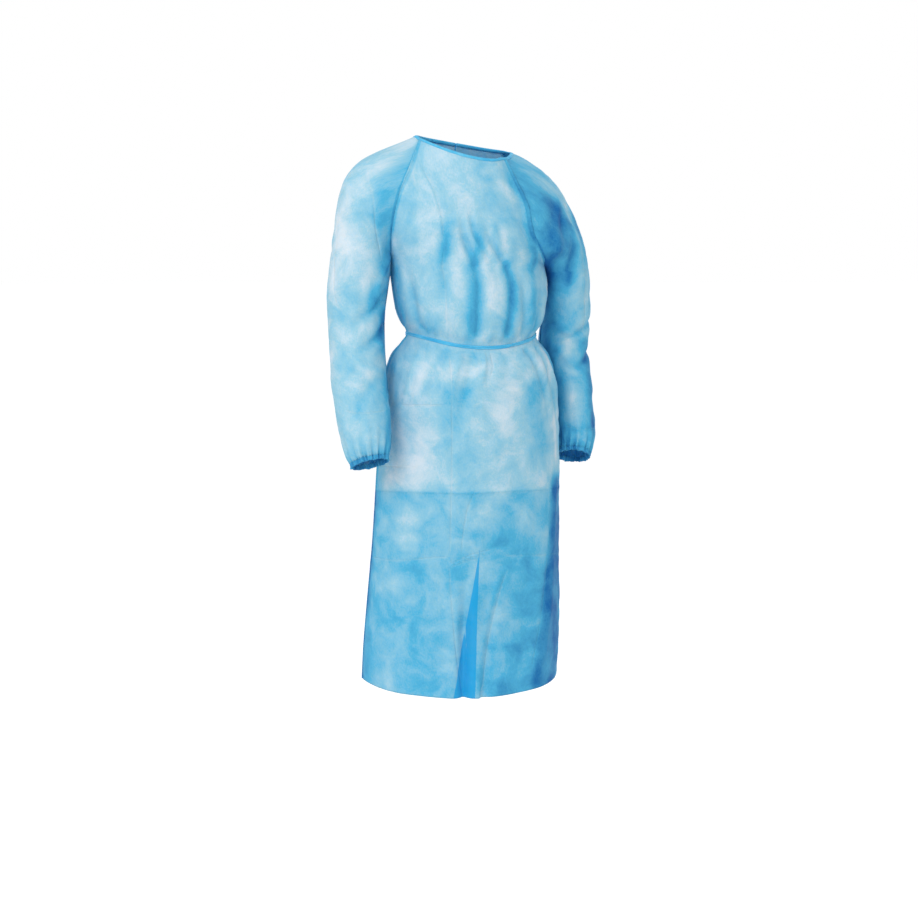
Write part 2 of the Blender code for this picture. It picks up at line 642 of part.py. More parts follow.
def ring_out(row, arm):
    """The direction out of the sleeve at each point of a row."""
    z = np.clip(row[:, 2], arm[-1].z, ARMPIT_Z)
    middle_z = np.minimum(row[:, 2], SHOULDER_CENTRE_Z)
    middle = np.stack([smooth(arm, "x", "z")(z), smooth(arm, "y", "z")(z), middle_z], axis=1)
    above = ramp((row[:, 2] - ARMPIT_Z) / LEVEL_REACH)
    middle[:, 0] += (row[:, 0] / 2 + SHOULDER_CENTRE_X - middle[:, 0]) * above
    out = row - middle
    return out / np.linalg.norm(out, axis=1, keepdims=True)


def creased(row, arm, creases):
    """A sleeve row with its folds. They fade at the raglan seams and at the underarm."""
    turn = np.linspace(0, 1, len(row))
    wide = 2 * np.pi * smooth(arm, "across", "z")(np.clip(row[:, 2], arm[-1].z, ARMPIT_Z))
    depth = fold_depth(creases, turn, row[:, 2], wide)
    closed = row[0][2] < ARMPIT_Z - SLEEVE_CLOSED_BELOW
    fade = 1.0 if closed else ramp(np.minimum(turn, 1 - turn) * SLEEVE_FADE)
    if closed:
        depth[-1] = depth[0] = (depth[0] + depth[-1]) / 2
    return row + ring_out(row, arm) * (depth * fade)[:, None]


def gathered(row, arm):
    """A sleeve row drawn up into the elastic's waves."""
    turn = np.linspace(0, 1, len(row))
    uneven = 1 + CUFF_UNEVEN * np.sin(2 * np.pi * CUFF_UNEVEN_TURNS * turn + CUFF_UNEVEN_START)
    wave = np.sin(2 * np.pi * CUFF_WAVES * turn) * uneven
    pulled = CUFF_WAVE * gather(row[:, 2].mean(), arm) * wave
    return row + ring_out(row, arm) * pulled[:, None]


def towards(points, others, distance):
    """Points moved a distance towards others."""
    way = others - points
    return points + way / np.linalg.norm(way, axis=-1, keepdims=True) * distance


def add_object(name, vertices, faces, colour):
    """A named object of these faces, in the gown's collection, in its own material."""
    mesh = bpy.data.meshes.new(name)
    mesh.from_pydata([tuple(float(c) for c in vertex) for vertex in vertices], [], faces)
    working = bmesh.new()
    working.from_mesh(mesh)
    bmesh.ops.remove_doubles(working, verts=working.verts, dist=MERGE_WITHIN)
    working.to_mesh(mesh)
    working.free()
    mesh.shade_smooth()
    obj = bpy.data.objects.new(name, mesh)
    gown.objects.link(obj)
    obj.parent = held
    mesh.materials.append(cloth_material(name, colour))
    return obj


def cloth_material(name, colour):
    """Spunbond nonwoven: matt, and not metallic."""
    material = bpy.data.materials.new(name)
    material.use_nodes = True
    shader = material.node_tree.nodes["Principled BSDF"]
    shader.inputs["Base Color"].default_value = COLOURS[colour]
    shader.inputs["Roughness"].default_value = ROUGHNESS
    shader.inputs["Metallic"].default_value = 0.0
    return material


def thickened(obj, thick):
    """The sheet made a wall, inwards from its outer face."""
    wall = obj.modifiers.new("Wall", "SOLIDIFY")
    wall.thickness = thick
    wall.offset = -1
    wall.use_quality_normals = True
    return obj


def grid_faces(rows, columns, outward):
    """Quads between the points of a grid, by row. outward is False where they face in."""
    faces = []
    for row in range(rows - 1):
        for column in range(columns - 1):
            a = row * columns + column
            quad = (a, a + 1, a + 1 + columns, a + columns)
            faces.append(quad if outward else quad[::-1])
    return faces


def panel(name, points, outward):
    """A sheet of cloth through a grid of points, made a wall."""
    rows, columns = points.shape[:2]
    faces = grid_faces(rows, columns, outward)
    return thickened(add_object(name, points.reshape(-1, 3), faces, "nonwoven"), CLOTH)


def make_front(points):
    seamed = points.copy()
    seamed[:, 0] = towards(points[:, 0], points[:, 1], SEAM_GAP / 2)
    seamed[:, -1] = towards(points[:, -1], points[:, -2], SEAM_GAP / 2)
    return panel("front", seamed, outward=True)


def make_back(name, points, side):
    seamed = points.copy()
    seamed[:, 0] = towards(points[:, 0], points[:, 1], SEAM_GAP / 2)
    return panel(name, seamed, outward=side > 0)


def sleeve_points(side):
    """A sleeve's coarse and fine rows in the wearer's stance, with room at the raglan seams."""
    arm, creases = (LEFT_ARM, LEFT_CREASES) if side > 0 else (RIGHT_ARM, RIGHT_CREASES)
    coarse, fine = sleeve_rows(arm, creases, side)
    if side < 0:
        coarse, fine = [mirrored(row) for row in coarse], [mirrored(row) for row in fine]
    coarse, fine = [with_stance(row) for row in coarse], [with_stance(row) for row in fine]
    for row in coarse[: len(YOKE_ROWS)]:
        row[0] = towards(row[0], row[1], SEAM_GAP / 2)
        row[-1] = towards(row[-1], row[-2], SEAM_GAP / 2)
    armpit = coarse[len(YOKE_ROWS)]
    below = coarse[len(YOKE_ROWS) + 1]
    clear = np.array([side * SEAM_GAP, 0, 0])
    armpit[0] = armpit[-1] = towards(armpit[0], below[0], SEAM_GAP) + clear
    return coarse, fine


def make_sleeve(name, coarse, fine, side):
    """A raglan sleeve: open above the armpit, a tube below it, and finer where it is gathered."""
    columns = SLEEVE_COLUMNS + 1
    vertices = np.concatenate(coarse + fine)
    faces = grid_faces(len(coarse), columns, outward=True)
    last = (len(coarse) - 1) * columns
    first = len(coarse) * columns
    for column in range(SLEEVE_COLUMNS):
        a, b = last + column, last + column + 1
        c = first + column * GATHER_SPLIT
        faces += [(a, c + 1, c), (a, b, c + 2, c + 1), (b, c + 3, c + 2)]
    fine_columns = SLEEVE_COLUMNS * GATHER_SPLIT + 1
    faces += [tuple(first + index for index in face)
              for face in grid_faces(len(fine), fine_columns, outward=True)]
    if side > 0:
        faces = [face[::-1] for face in faces]
    return thickened(add_object(name, vertices, faces, "nonwoven"), CLOTH)


def make_cuff(name, side):
    """The elastic's casing: a band of the same waves, just past the sleeve's end."""
    arm = LEFT_ARM if side > 0 else RIGHT_ARM
    columns = SLEEVE_COLUMNS * GATHER_SPLIT
    end = gathered(sleeve_ring(arm, arm[-1].z, columns), arm)
    _, _, _, along = arm_frame(arm, arm[-1].z)
    rows = [end - along * distance for distance in
            (SEAM_GAP, SEAM_GAP + CUFF_LENGTH / 2, SEAM_GAP + CUFF_LENGTH)]
    middle = end[:-1].mean(axis=0)
    rows[1] = rows[1] + (rows[1] - (middle - along * CUFF_LENGTH / 2)) * CUFF_BULGE
    rows = [row if side > 0 else mirrored(row) for row in rows]
    points = np.array([with_stance(row) for row in rows])
    faces = grid_faces(len(rows), columns + 1, outward=side < 0)
    return thickened(add_object(name, points.reshape(-1, 3), faces, "nonwoven"), CUFF_THICK)


def swept(name, stations, closed, colour):
    """A solid through loops of corners, one loop at each station along it."""
    stations = np.array(stations)
    count, corners = stations.shape[:2]
    faces = []
    for station in range(count if closed else count - 1):
        after = (station + 1) % count
        for corner in range(corners):
            beside = (corner + 1) % corners
            faces.append((station * corners + corner, station * corners + beside,
                          after * corners + beside, after * corners + corner))
    if not closed:
        faces.append(tuple(range(corners))[::-1])
        faces.append(tuple(range((count - 1) * corners, count * corners)))
    obj = add_object(name, stations.reshape(-1, 3), faces, colour)
    working = bmesh.new()
    working.from_mesh(obj.data)
    bmesh.ops.recalc_face_normals(working, faces=working.faces)
    working.to_mesh(obj.data)
    working.free()
    return obj


def neckline(front, backs, sleeves):
    """The neckline's points and those one row down, from the right back edge to the left one."""
    order = [
        (backs[-1][-1][::-1], backs[-1][-2][::-1]),
        (sleeves[-1][0][0][-2:0:-2], sleeves[-1][0][1][-2:0:-2]),
        (front[-1], front[-2]),
        (sleeves[1][0][0][1:-1:2], sleeves[1][0][1][1:-1:2]),
        (backs[1][-1], backs[1][-2]),
    ]
    edge = np.concatenate([piece[0] for piece in order])
    below = np.concatenate([piece[1] for piece in order])
    return edge, below


def make_binding(edge, below):
    """The neck binding: a strip folded over the neckline, its section a U."""
    up = edge - below
    up /= np.linalg.norm(up, axis=1, keepdims=True)
    along = np.gradient(edge, axis=0)
    out = np.cross(along, up)
    out /= np.linalg.norm(out, axis=1, keepdims=True)
    outer, inner = BIND_GAP, -CLOTH - BIND_GAP
    profile = [
        (-BIND_DEPTH, outer + BIND_WALL), (BIND_GAP + BIND_WALL, outer + BIND_WALL),
        (BIND_GAP + BIND_WALL, inner - BIND_WALL), (-BIND_DEPTH, inner - BIND_WALL),
        (-BIND_DEPTH, inner), (BIND_GAP, inner), (BIND_GAP, outer), (-BIND_DEPTH, outer),
    ]
    stations = [[point + rise * way_up + lift * way_out for rise, lift in profile]
                for point, way_up, way_out in zip(edge, up, out)]
    return swept("neck_binding", stations, closed=False, colour="binding")


def belt_line(front, backs):
    """The middle line of the waist tie on the cloth, once round from the left side, and its way out."""
    low, high = BODY_ROWS.index(BELT_LOW_Z), BODY_ROWS.index(BELT_HIGH_Z)
    right, left = backs[-1], backs[1]
    under = np.argmin(np.linalg.norm(left[low] - right[low][-1], axis=1))
    rings = [np.concatenate([front[row][:-1], left[row][:under], right[row][:0:-1]])
             for row in (low, high)]
    line = (rings[0] + rings[1]) / 2
    ahead = np.roll(line, -1, axis=0) - np.roll(line, 1, axis=0)
    out = np.cross(ahead, np.array([0, 0, 1.0]))
    return line, out / np.linalg.norm(out, axis=1, keepdims=True)


def make_belt(line, out):
    """The waist tie where it goes round the gown."""
    half = np.array([0, 0, BELT_WIDTH / 2])
    near, far = BELT_GAP, BELT_GAP + BELT_THICK
    stations = [[point + way * near - half, point + way * far - half * BELT_CROWN,
                 point + way * far + half * BELT_CROWN, point + way * near + half]
                for point, way in zip(line, out)]
    return swept("waist_tie", stations, closed=True, colour="nonwoven")


def make_knot(knot, colour):
    """A small tight knot, as a rounded lump."""
    working = bmesh.new()
    bmesh.ops.create_cube(working, size=1.0)
    bmesh.ops.scale(working, vec=knot.size, verts=working.verts)
    mesh = bpy.data.meshes.new(knot.name)
    working.to_mesh(mesh)
    working.free()
    obj = bpy.data.objects.new(knot.name, mesh)
    obj.location = knot.place
    gown.objects.link(obj)
    obj.parent = held
    bevel = obj.modifiers.new("Rounding", "BEVEL")
    bevel.width = min(knot.size) * KNOT_ROUNDING
    bevel.segments = KNOT_SEGMENTS
    mesh.shade_smooth()
    mesh.materials.append(cloth_material(knot.name, colour))
    return obj


def hanging_line(panel_points, columns, rows):
    """Points on a panel, and the way out there, at these column and row numbers."""
    line, ways = [], []
    for column, row in zip(columns, rows):
        c, r = int(column), int(row)
        dc, dr = column - c, row - r
        corner = panel_points[r:r + 2, c:c + 2]
        point = ((corner[0, 0] * (1 - dc) + corner[0, 1] * dc) * (1 - dr)
                 + (corner[1, 0] * (1 - dc) + corner[1, 1] * dc) * dr)
        line.append(point)
        ways.append(body_out(point))
    return np.array(line), np.array(ways)


def make_tail(name, knot, end, line, ways, width, colour):
    """A tie's free end: a tape pinched at its knot, that opens out and hangs clear of the back."""
    opened = ramp(np.linspace(0, TIE_OPENING, len(line)))
    lift = TIE_LIFT * (TIE_LIFT_AT_KNOT + (1 - TIE_LIFT_AT_KNOT) * opened)
    path = line + ways * lift[:, None]
    sideways = np.array([end.sign * knot.size[0] * TIE_ASIDE, 0, 0])
    top = knot.place + ways[0] * knot.size[1] * TIE_BEHIND + sideways
    top[2] = knot.place[2] - knot.size[2] / 2 - TIE_SEAT
    middle = np.concatenate([[top], path])
    ways = np.concatenate([ways[:1], ways])
    down = np.gradient(middle, axis=0)
    aside = np.cross(down, ways)
    aside[0, 2] = 0
    aside /= np.linalg.norm(aside, axis=1, keepdims=True)
    pinch = knot.size[0] * TIE_PINCH
    half = (pinch + (width - pinch) * ramp(np.linspace(0, TIE_OPENING, len(middle)))) / 2
    stations = [[point - side * w, point + side * w,
                 point + side * w + way * TIE_THICK, point - side * w + way * TIE_THICK]
                for point, side, way, w in zip(middle, aside, ways, half)]
    return swept(name, stations, closed=False, colour=colour)


def make_ends(ends, knot, panel_points, first_row, width, colour):
    """Both free ends of a tie, on the back panel that laps over."""
    for end in ends:
        columns = BACK_COLUMNS * np.linspace(end.top, end.bottom, TIE_STATIONS)
        rows = np.linspace(first_row, end.last_row, TIE_STATIONS)
        line, ways = hanging_line(panel_points, columns, rows)
        make_tail(end.name, knot, end, line, ways, width, colour)


def make_waist_ends(backs):
    """The knot at the back, outside the waist tie, and its two hanging ends."""
    right = backs[-1]
    belt_row = (BODY_ROWS.index(BELT_LOW_Z) + BODY_ROWS.index(BELT_HIGH_Z)) / 2
    (place,), (way,) = hanging_line(right, [BACK_COLUMNS * KNOT_SHARE], [belt_row])
    offset = BELT_GAP + BELT_THICK + SEAM_GAP + WAIST_KNOT[1] / 2
    knot = Knot("waist_knot", place + way * offset, WAIST_KNOT)
    make_knot(knot, "nonwoven")
    make_ends(WAIST_ENDS, knot, right, WAIST_ENDS_ROW, WAIST_END_WIDTH, "nonwoven")


def make_neck_ends(edge, backs):
    """The knot that closes the binding at the middle of the back, and its two hanging ends."""
    middle = (edge[0] + edge[-1]) / 2
    offset = 3 * LAYER_LIFT + BIND_GAP + BIND_WALL + NECK_KNOT[1] / 2
    below = np.array([0, 0, BIND_DEPTH / 2])
    knot = Knot("neck_knot", middle + body_out(middle) * offset - below, NECK_KNOT)
    make_knot(knot, "binding")
    make_ends(NECK_ENDS, knot, backs[-1], NECK_ENDS_ROW, NECK_END_WIDTH, "binding")


def main():
    front = front_grid()
    backs = {side: back_grid(side) for side in (1, -1)}
    make_front(front)
    make_back("back_left", backs[1], 1)
    make_back("back_right", backs[-1], -1)
    sleeves = {side: sleeve_points(side) for side in (1, -1)}
    make_sleeve("sleeve_left", *sleeves[1], 1)
    make_sleeve("sleeve_right", *sleeves[-1], -1)
    make_cuff("cuff_left", 1)
    make_cuff("cuff_right", -1)
    edge, below = neckline(front, backs, sleeves)
    make_binding(edge, below)
    make_neck_ends(edge, backs)
    make_belt(*belt_line(front, backs))
    make_waist_ends(backs)


for old in list(bpy.data.objects):
    bpy.data.objects.remove(old)
gown = bpy.data.collections.new("visitor_gown")
bpy.context.scene.collection.children.link(gown)
held = bpy.data.objects.new("neck", None)
gown.objects.link(held)
main()
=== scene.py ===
import math

import bpy
import numpy as np
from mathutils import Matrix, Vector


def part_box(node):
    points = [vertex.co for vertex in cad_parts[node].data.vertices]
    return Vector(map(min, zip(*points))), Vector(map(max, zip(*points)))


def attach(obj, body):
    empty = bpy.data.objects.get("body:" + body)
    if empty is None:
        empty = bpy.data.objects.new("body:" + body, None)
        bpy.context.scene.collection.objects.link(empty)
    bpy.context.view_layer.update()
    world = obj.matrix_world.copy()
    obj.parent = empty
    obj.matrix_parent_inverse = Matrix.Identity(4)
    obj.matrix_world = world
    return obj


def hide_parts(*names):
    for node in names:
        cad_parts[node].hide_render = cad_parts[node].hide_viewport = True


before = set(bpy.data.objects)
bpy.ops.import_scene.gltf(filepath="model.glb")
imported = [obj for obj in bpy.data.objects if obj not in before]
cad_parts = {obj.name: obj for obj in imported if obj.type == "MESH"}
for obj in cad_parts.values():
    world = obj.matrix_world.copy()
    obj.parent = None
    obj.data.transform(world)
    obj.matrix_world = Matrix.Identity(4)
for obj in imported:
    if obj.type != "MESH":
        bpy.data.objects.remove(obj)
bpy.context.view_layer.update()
print("stage 1 of 8: frame loaded")


# the gown's sizes, the same as the CAD's, in millimetres, with shares and directions in thousandths
def table(names, rows):
    return dict(zip(names.split(), np.array(rows, float).T / 1000))


body = table("z halfWidth front back", [
    (-1138, 218, -182, 166), (-1080, 218, -178, 165), (-970, 214, -172, 163), (-850, 208, -167, 161),
    (-700, 202, -162, 157), (-560, 194, -157, 152), (-500, 188, -154, 146), (-462, 180, -149, 138),
    (-436, 168, -140, 126), (-418, 153, -129, 113), (-402, 141, -121, 104), (-390, 141, -121, 104),
    (-374, 151, -130, 113), (-352, 160, -137, 119), (-320, 166, -140, 121), (-285, 170, -140, 120),
    (-255, 171, -138, 118),
])
frontSeamRight = table("part x y z", [
    (0, 171, 10, -255), (200, 177, -20, -226), (400, 180, -52, -183), (600, 168, -70, -126),
    (800, 137, -55, -70), (1000, 103, -14, -4),
])
frontSeamLeft = table("part x y z", [
    (0, 171, 10, -255), (200, 137, -82, -224), (400, 106, -108, -176), (600, 96, -105, -116),
    (800, 80, -86, -66), (1000, 67, -56, -19),
])
backSeam = table("part x y z", [
    (0, 171, 10, -255), (200, 179, 58, -217), (400, 177, 90, -165), (600, 160, 101, -105),
    (800, 130, 84, -44), (1000, 93, 50, 8),
])
frontMiddle = table("part x y z", [
    (0, 0, -138, -255), (200, 0, -139, -206), (400, 0, -137, -161), (600, 0, -128, -116), (800, 0, -110, -72),
    (1000, 0, -87, -31),
])
backMiddle = table("part x y z", [
    (0, 0, 118, -255), (200, 0, 124, -200), (400, 0, 126, -148), (600, 0, 121, -95), (800, 0, 105, -42),
    (1000, 0, 80, 10),
])
shoulderRight = table("part x y z", [
    (0, 302, 10, -255), (120, 293, 10, -205), (250, 282, 10, -155), (400, 266, 11, -108), (550, 235, 13, -71),
    (700, 191, 16, -43), (850, 145, 19, -18), (1000, 105, 21, 4),
])
shoulderLeft = table("part x y z", [
    (0, 272, 10, -255), (120, 265, 16, -205), (250, 256, 21, -155), (400, 240, 24, -108), (550, 219, 25, -66),
    (700, 189, 24, -33), (850, 148, 22, -10), (1000, 105, 21, 4),
])
leaveNames = "part panelX panelY panelZ panelPull sleeveX sleeveY sleeveZ sleevePull"
frontLeavesRight = table(leaveNames, [
    (0, 0, -1000, 0, 82, 50, -1000, 0, 93), (200, -250, -970, 0, 75, 500, -860, 50, 78),
    (400, -620, -780, 20, 70, 800, -550, 180, 60), (600, -860, -500, -40, 60, 920, -50, 340, 44),
    (800, -860, -480, -160, 50, 800, 400, 360, 28), (1000, -140, -960, -220, 42, 20, 990, 140, 10),
])
frontLeavesLeft = table(leaveNames, [
    (0, 0, -1000, 0, 82, 50, -1000, 0, 70), (200, -850, -520, 0, 45, 880, -400, 50, 60),
    (400, -980, -200, 0, 35, 980, 20, 60, 60), (600, -980, -200, 0, 32, 950, 120, 240, 50),
    (800, -950, -300, -30, 28, 860, 380, 320, 40), (1000, -840, -530, -80, 26, 620, 760, 160, 28),
])
backLeaves = table(leaveNames, [
    (0, 0, 1000, 0, 60, 50, 1000, 0, 93), (200, -450, 890, 0, 55, 600, 780, 100, 70),
    (400, -900, 400, 20, 60, 900, 280, 220, 46), (600, -960, 240, -40, 55, 920, -80, 340, 40),
    (800, -880, 420, -50, 45, 800, -400, 340, 28), (1000, -620, 780, 40, 30, 300, -940, -50, 10),
])
handles = table("part shoulder middle", [
    (0, 93, 93), (200, 72, 90), (400, 52, 80), (600, 42, 68), (800, 30, 58), (1000, 10, 52),
])
rightArm = table("z x y across deep", [
    (-255, 236, 10, 65, 72), (-300, 244, 12, 64, 69), (-360, 250, 8, 59.5, 65), (-420, 252.5, -8, 58.5, 62),
    (-480, 254, -36, 58.5, 60), (-540, 253.5, -66, 56.5, 58), (-590, 251, -89, 53.5, 55.5),
    (-620, 249, -101, 49, 51.5), (-641, 247, -109, 43, 45), (-651, 245.5, -113, 37.5, 39),
])
leftArm = table("z x y across deep", [
    (-255, 221.5, 10, 50.5, 72), (-300, 225.5, 28, 51.5, 69), (-360, 229, 40, 54, 65),
    (-420, 226.5, 48, 54.5, 62), (-480, 236, 46, 50.5, 60), (-540, 244.5, 38, 49, 58),
    (-595, 248, 26, 47.5, 55), (-628, 247, 16, 44, 52), (-650, 243.5, 8, 40, 45), (-661, 241, 3, 36.5, 38.5),
])
stance = table("z shift drop droop", [
    (-1140, -12, 0, 12), (-850, 2, 0, 7), (-600, 10, 0, 6), (-460, 13, 0, 18), (-396, 14, 10, 26),
    (-330, 13, 25, 16), (-255, 11, 45, 4), (-120, 7, 110, 0), (-50, 4, 140, 0), (30, 2, 150, 0),
])
laps = table("z past", [
    (-1140, 70), (-600, 66), (-400, 58), (-250, 36), (-120, 16), (-40, 3), (30, -4),
])
sizes = {
    "hemZ": -1.138, "armpitZ": -0.255, "middleY": 0.004, "ellipse": 0.5523,
    "clothThick": 0.0004, "layerLift": 0.0016, "lapBlend": 0.055,
    "frontColumns": 146, "backColumns": 92, "sleeveColumns": 192,
    "bodyRows": 206, "yokeRows": 58, "armRows": 96,
    "pleatCrowd": 1.4, "pleatCrowdAt": 0.425, "pleatCrowdWidth": 0.075,
    "seamGap": 0.0006, "seamDrop": 0.0003, "seamLayers": 0.004, "seamSoft": 0.003,
    "allowance": 0.0042, "allowanceDrop": 0.0011, "allowanceBend": 0.0008,
    "levelReach": 0.08, "shoulderCentreX": 0.06, "shoulderCentreZ": -0.12,
    "beltTop": -0.390, "beltBottom": -0.402, "armpitY": 0.010, "armpitBlend": 0.05,
    "neckHold": 0.90, "edgeHold": 0.018, "easeRows": 16, "easeTimes": 90, "sleeveEaseTimes": 120,
}
# the small unevenness of the cloth: sizes along it, and depths
unevenness = {
    "broadSize": 0.110, "broad": 0.0016, "facetSize": 0.042, "facet": 0.0009, "smallFacetSize": 0.021,
    "smallFacet": 0.00040, "grainSize": 0.012, "grain": 0.00015,
    "wanderSize": 0.055, "wander": 0.35, "creaseSize": 0.045, "crease": 0.35, "creaseLeast": 0.85,
}
pressed = {"far": 0.05, "reach": 0.006, "leastFade": 0.02}
gather = {"gapAbove": 0.003, "gapBelow": 0.004, "short": 0.022, "long": 0.060, "lean": 0.35, "narrow": 0.0035,
          "wide": 0.0055, "shallow": 0.0008, "deep": 0.0020, "hold": 0.007, "holdSoft": 0.012}
# painted shade and light, as how deep the blue is: above 0 deeper, mostly painted shade; below 0 paler,
# painted highlight
paintedShadeAndToneSizes = {
    # trough and ridge: painted shade in troughs, painted highlight on ridges
    "troughDepth": 0.0085, "ridge": -0.35, "trough": 0.95, "palest": -0.52, "deepest": 1.5,
    "frontFolds": 0.5, "backFolds": 0.6, "sleeveFolds": 0.6, "sideSoft": 0.08,
    # painted shade beside the side seams
    "frontSide": (0.42, 0.050, -0.22), "backSide": (0.50, 0.075, -0.18),
    "frontBelowFold": 0.40, "frontFoldZ": -0.706, "frontFoldCurve": 0.18, "frontFoldSoft": 0.016,
    "backBelowFold": 0.30, "backFoldZ": -0.712, "backFoldSoft": 0.020,
    "shadedChest": 0.32, "shadedChestX": 0.02, "shadedChestWide": 0.12, "shadedChestZ": -0.36,
    "shadedChestSoft": 0.16, "hemPleatZ": -0.90, "hemPleatSoft": 0.15,
    # painted shade on the sleeves' inner sides, over the whole wearer's left sleeve, and near the gathered
    # ends
    "innerSleeve": 0.45, "leftSleeve": 0.36, "sleeveEnd": 0.45, "sleeveEndReach": 0.028,
}


def curve(column, key, data):
    order = np.argsort(data[key])
    x, y = data[key][order], data[column][order]
    slope = np.gradient(y, x)

    def value(at):
        at = np.clip(np.asarray(at, float), x[0], x[-1])
        low = np.clip(np.searchsorted(x, at, side="right") - 1, 0, len(x) - 2)
        step = x[low + 1] - x[low]
        s = (at - x[low]) / step
        start = (1 + 2 * s) * (1 - s) ** 2 * y[low] + s * (1 - s) ** 2 * step * slope[low]
        return start + s**2 * (3 - 2 * s) * y[low + 1] + s**2 * (s - 1) * step * slope[low + 1]

    return value


def pathOf(data):
    columns = [curve(name, "part", data) for name in "xyz"]
    return lambda part: stacked(*(column(part) for column in columns))


def leavesOf(data, piece):
    ways = [curve(piece + axis, "part", data) for axis in "XYZ"]
    pull = curve(piece + "Pull", "part", data)

    def handle(part):
        return unit(stacked(*(column(part) for column in ways))) * pull(part)[..., None]

    return handle


def ramp(s):
    s = np.clip(s, 0, 1)
    return s * s * (3 - 2 * s)


def unit(v):
    return v / np.maximum(np.linalg.norm(v, axis=-1, keepdims=True), 1e-12)


def stacked(*parts):  # arrays of x, y and z, or plain numbers, as an array of points
    return np.stack(np.broadcast_arrays(*parts), axis=-1)


def arcs(start, leave, arrive, end, steps=72):
    s = np.linspace(0, 1, steps + 1)[None, :, None]
    a, b, c, d = (p[:, None, :] for p in (start, start + leave, end + arrive, end))
    return (1 - s) ** 3 * a + 3 * s * (1 - s) ** 2 * b + 3 * s**2 * (1 - s) * c + s**3 * d


def alongRow(row):
    return np.concatenate([[0], np.cumsum(np.linalg.norm(np.diff(row, axis=0), axis=1))])


def spaced(row, distances):
    along = alongRow(row)
    return np.stack([np.interp(distances, along, row[:, axis]) for axis in range(3)], axis=1)


def mirrored(points):
    return points * np.array([-1, 1, 1])


halfWidth = curve("halfWidth", "z", body)
frontDepth = curve("front", "z", body)
backDepth = curve("back", "z", body)
shiftOf = curve("shift", "z", stance)
dropOf = curve("drop", "z", stance)
droopOf = curve("droop", "z", stance)
lapOf = curve("past", "z", laps)
shoulderHandle = curve("shoulder", "part", handles)
middleHandle = curve("middle", "part", handles)
frontMiddleAt = pathOf(frontMiddle)

bodyZ = np.linspace(sizes["hemZ"], sizes["armpitZ"], sizes["bodyRows"])
yokeParts = np.linspace(0, 1, sizes["yokeRows"] + 1)[1:]
clothZ = np.concatenate([bodyZ, frontMiddleAt(yokeParts)[:, 2]])  # a row's height on the cloth
rowAbove = np.concatenate([np.zeros(len(bodyZ)), yokeParts])


def bodyOut(points):
    wide = halfWidth(points[..., 2])
    deep = np.where(points[..., 1] < sizes["middleY"], frontDepth(points[..., 2]), backDepth(points[..., 2]))
    return unit(stacked(points[..., 0] / wide**2, (points[..., 1] - sizes["middleY"]) / deep**2, 0.0))


def withStance(points, girth=None):
    x, y, z = points[..., 0], points[..., 1], points[..., 2]
    movedZ = z - dropOf(z) * x
    if girth is not None:
        movedZ = movedZ - droopOf(z) * np.cos(np.pi * np.clip(girth, -0.5, 0.5)) ** 2
    return stacked(x + shiftOf(z), y, movedZ)


def halfRows(depth, seam, middle, leaves):
    wide = halfWidth(bodyZ)
    lean = ramp((bodyZ - (sizes["armpitZ"] - sizes["armpitBlend"])) / sizes["armpitBlend"])
    sideY = sizes["middleY"] + (sizes["armpitY"] - sizes["middleY"]) * lean
    side = stacked(wide, sideY, bodyZ)
    forward = stacked(0.0, (depth(bodyZ) - sideY) * sizes["ellipse"], 0.0)
    across = stacked(wide * sizes["ellipse"], 0.0, 0.0)
    rows = arcs(side, forward, across, stacked(0.0, depth(bodyZ), bodyZ))
    inward = stacked(middleHandle(yokeParts), 0.0, 0.0)
    return np.concatenate([rows, arcs(seam(yokeParts), leaves(yokeParts), inward, middle(yokeParts))])


def valueNoise(u, v, size, seed):  # smooth noise from -1 to 1 over a plane, features of this size
    cells = np.random.default_rng(seed).uniform(-1, 1, (64, 64))
    x, y = np.asarray(u) / size + 17.3, np.asarray(v) / size + 29.1
    i, j = np.floor(x).astype(int), np.floor(y).astype(int)
    fx, fy = ramp(x - i), ramp(y - j)
    corner = lambda a, b: cells[(i + a) % 64, (j + b) % 64]
    low = corner(0, 0) * (1 - fx) + corner(1, 0) * fx
    high = corner(0, 1) * (1 - fx) + corner(1, 1) * fx
    return low * (1 - fy) + high * fy


def ridgedNoise(u, v, size, seed):  # sharp-crested noise from 0 to 1
    warpU = u + valueNoise(u, v, size * 1.7, seed + 50) * size * 0.5
    warpV = v + valueNoise(u, v, size * 1.7, seed + 90) * size * 0.5
    return 1 - np.abs(valueNoise(warpU, warpV, size, seed)) * 2


creaseShapes = {
    "soft": lambda x: np.exp(-x * x),
    "sharp": lambda x: np.exp(-np.abs(x) * 1.6),
    "step": lambda x: ramp((x + 1) / 2) * np.exp(-np.clip(x, 0, None) / 3.5),
}


def smoothLine(points, pieces=10):
    points = np.array(points, float)
    if len(points) < 3:
        t = np.linspace(0, 1, pieces + 1)[:, None]
        return points[0] * (1 - t) + points[-1] * t
    number = np.arange(len(points), dtype=float)
    line = {"n": number, "u": points[:, 0], "v": points[:, 1]}
    at = np.linspace(0, number[-1], int(number[-1]) * pieces + 1)
    return stacked(curve("u", "n", line)(at), curve("v", "n", line)(at))


def onSegment(a, b, u, v):  # how far along from a to b the nearest point is, the gap to it, and its side
    wayU, wayV = b[0] - a[0], b[1] - a[1]
    t = np.clip(((u - a[0]) * wayU + (v - a[1]) * wayV) / (wayU**2 + wayV**2), 0, 1)
    gapU, gapV = u - a[0] - t * wayU, v - a[1] - t * wayV
    return t, np.hypot(gapU, gapV), np.sign(wayU * gapV - wayV * gapU)


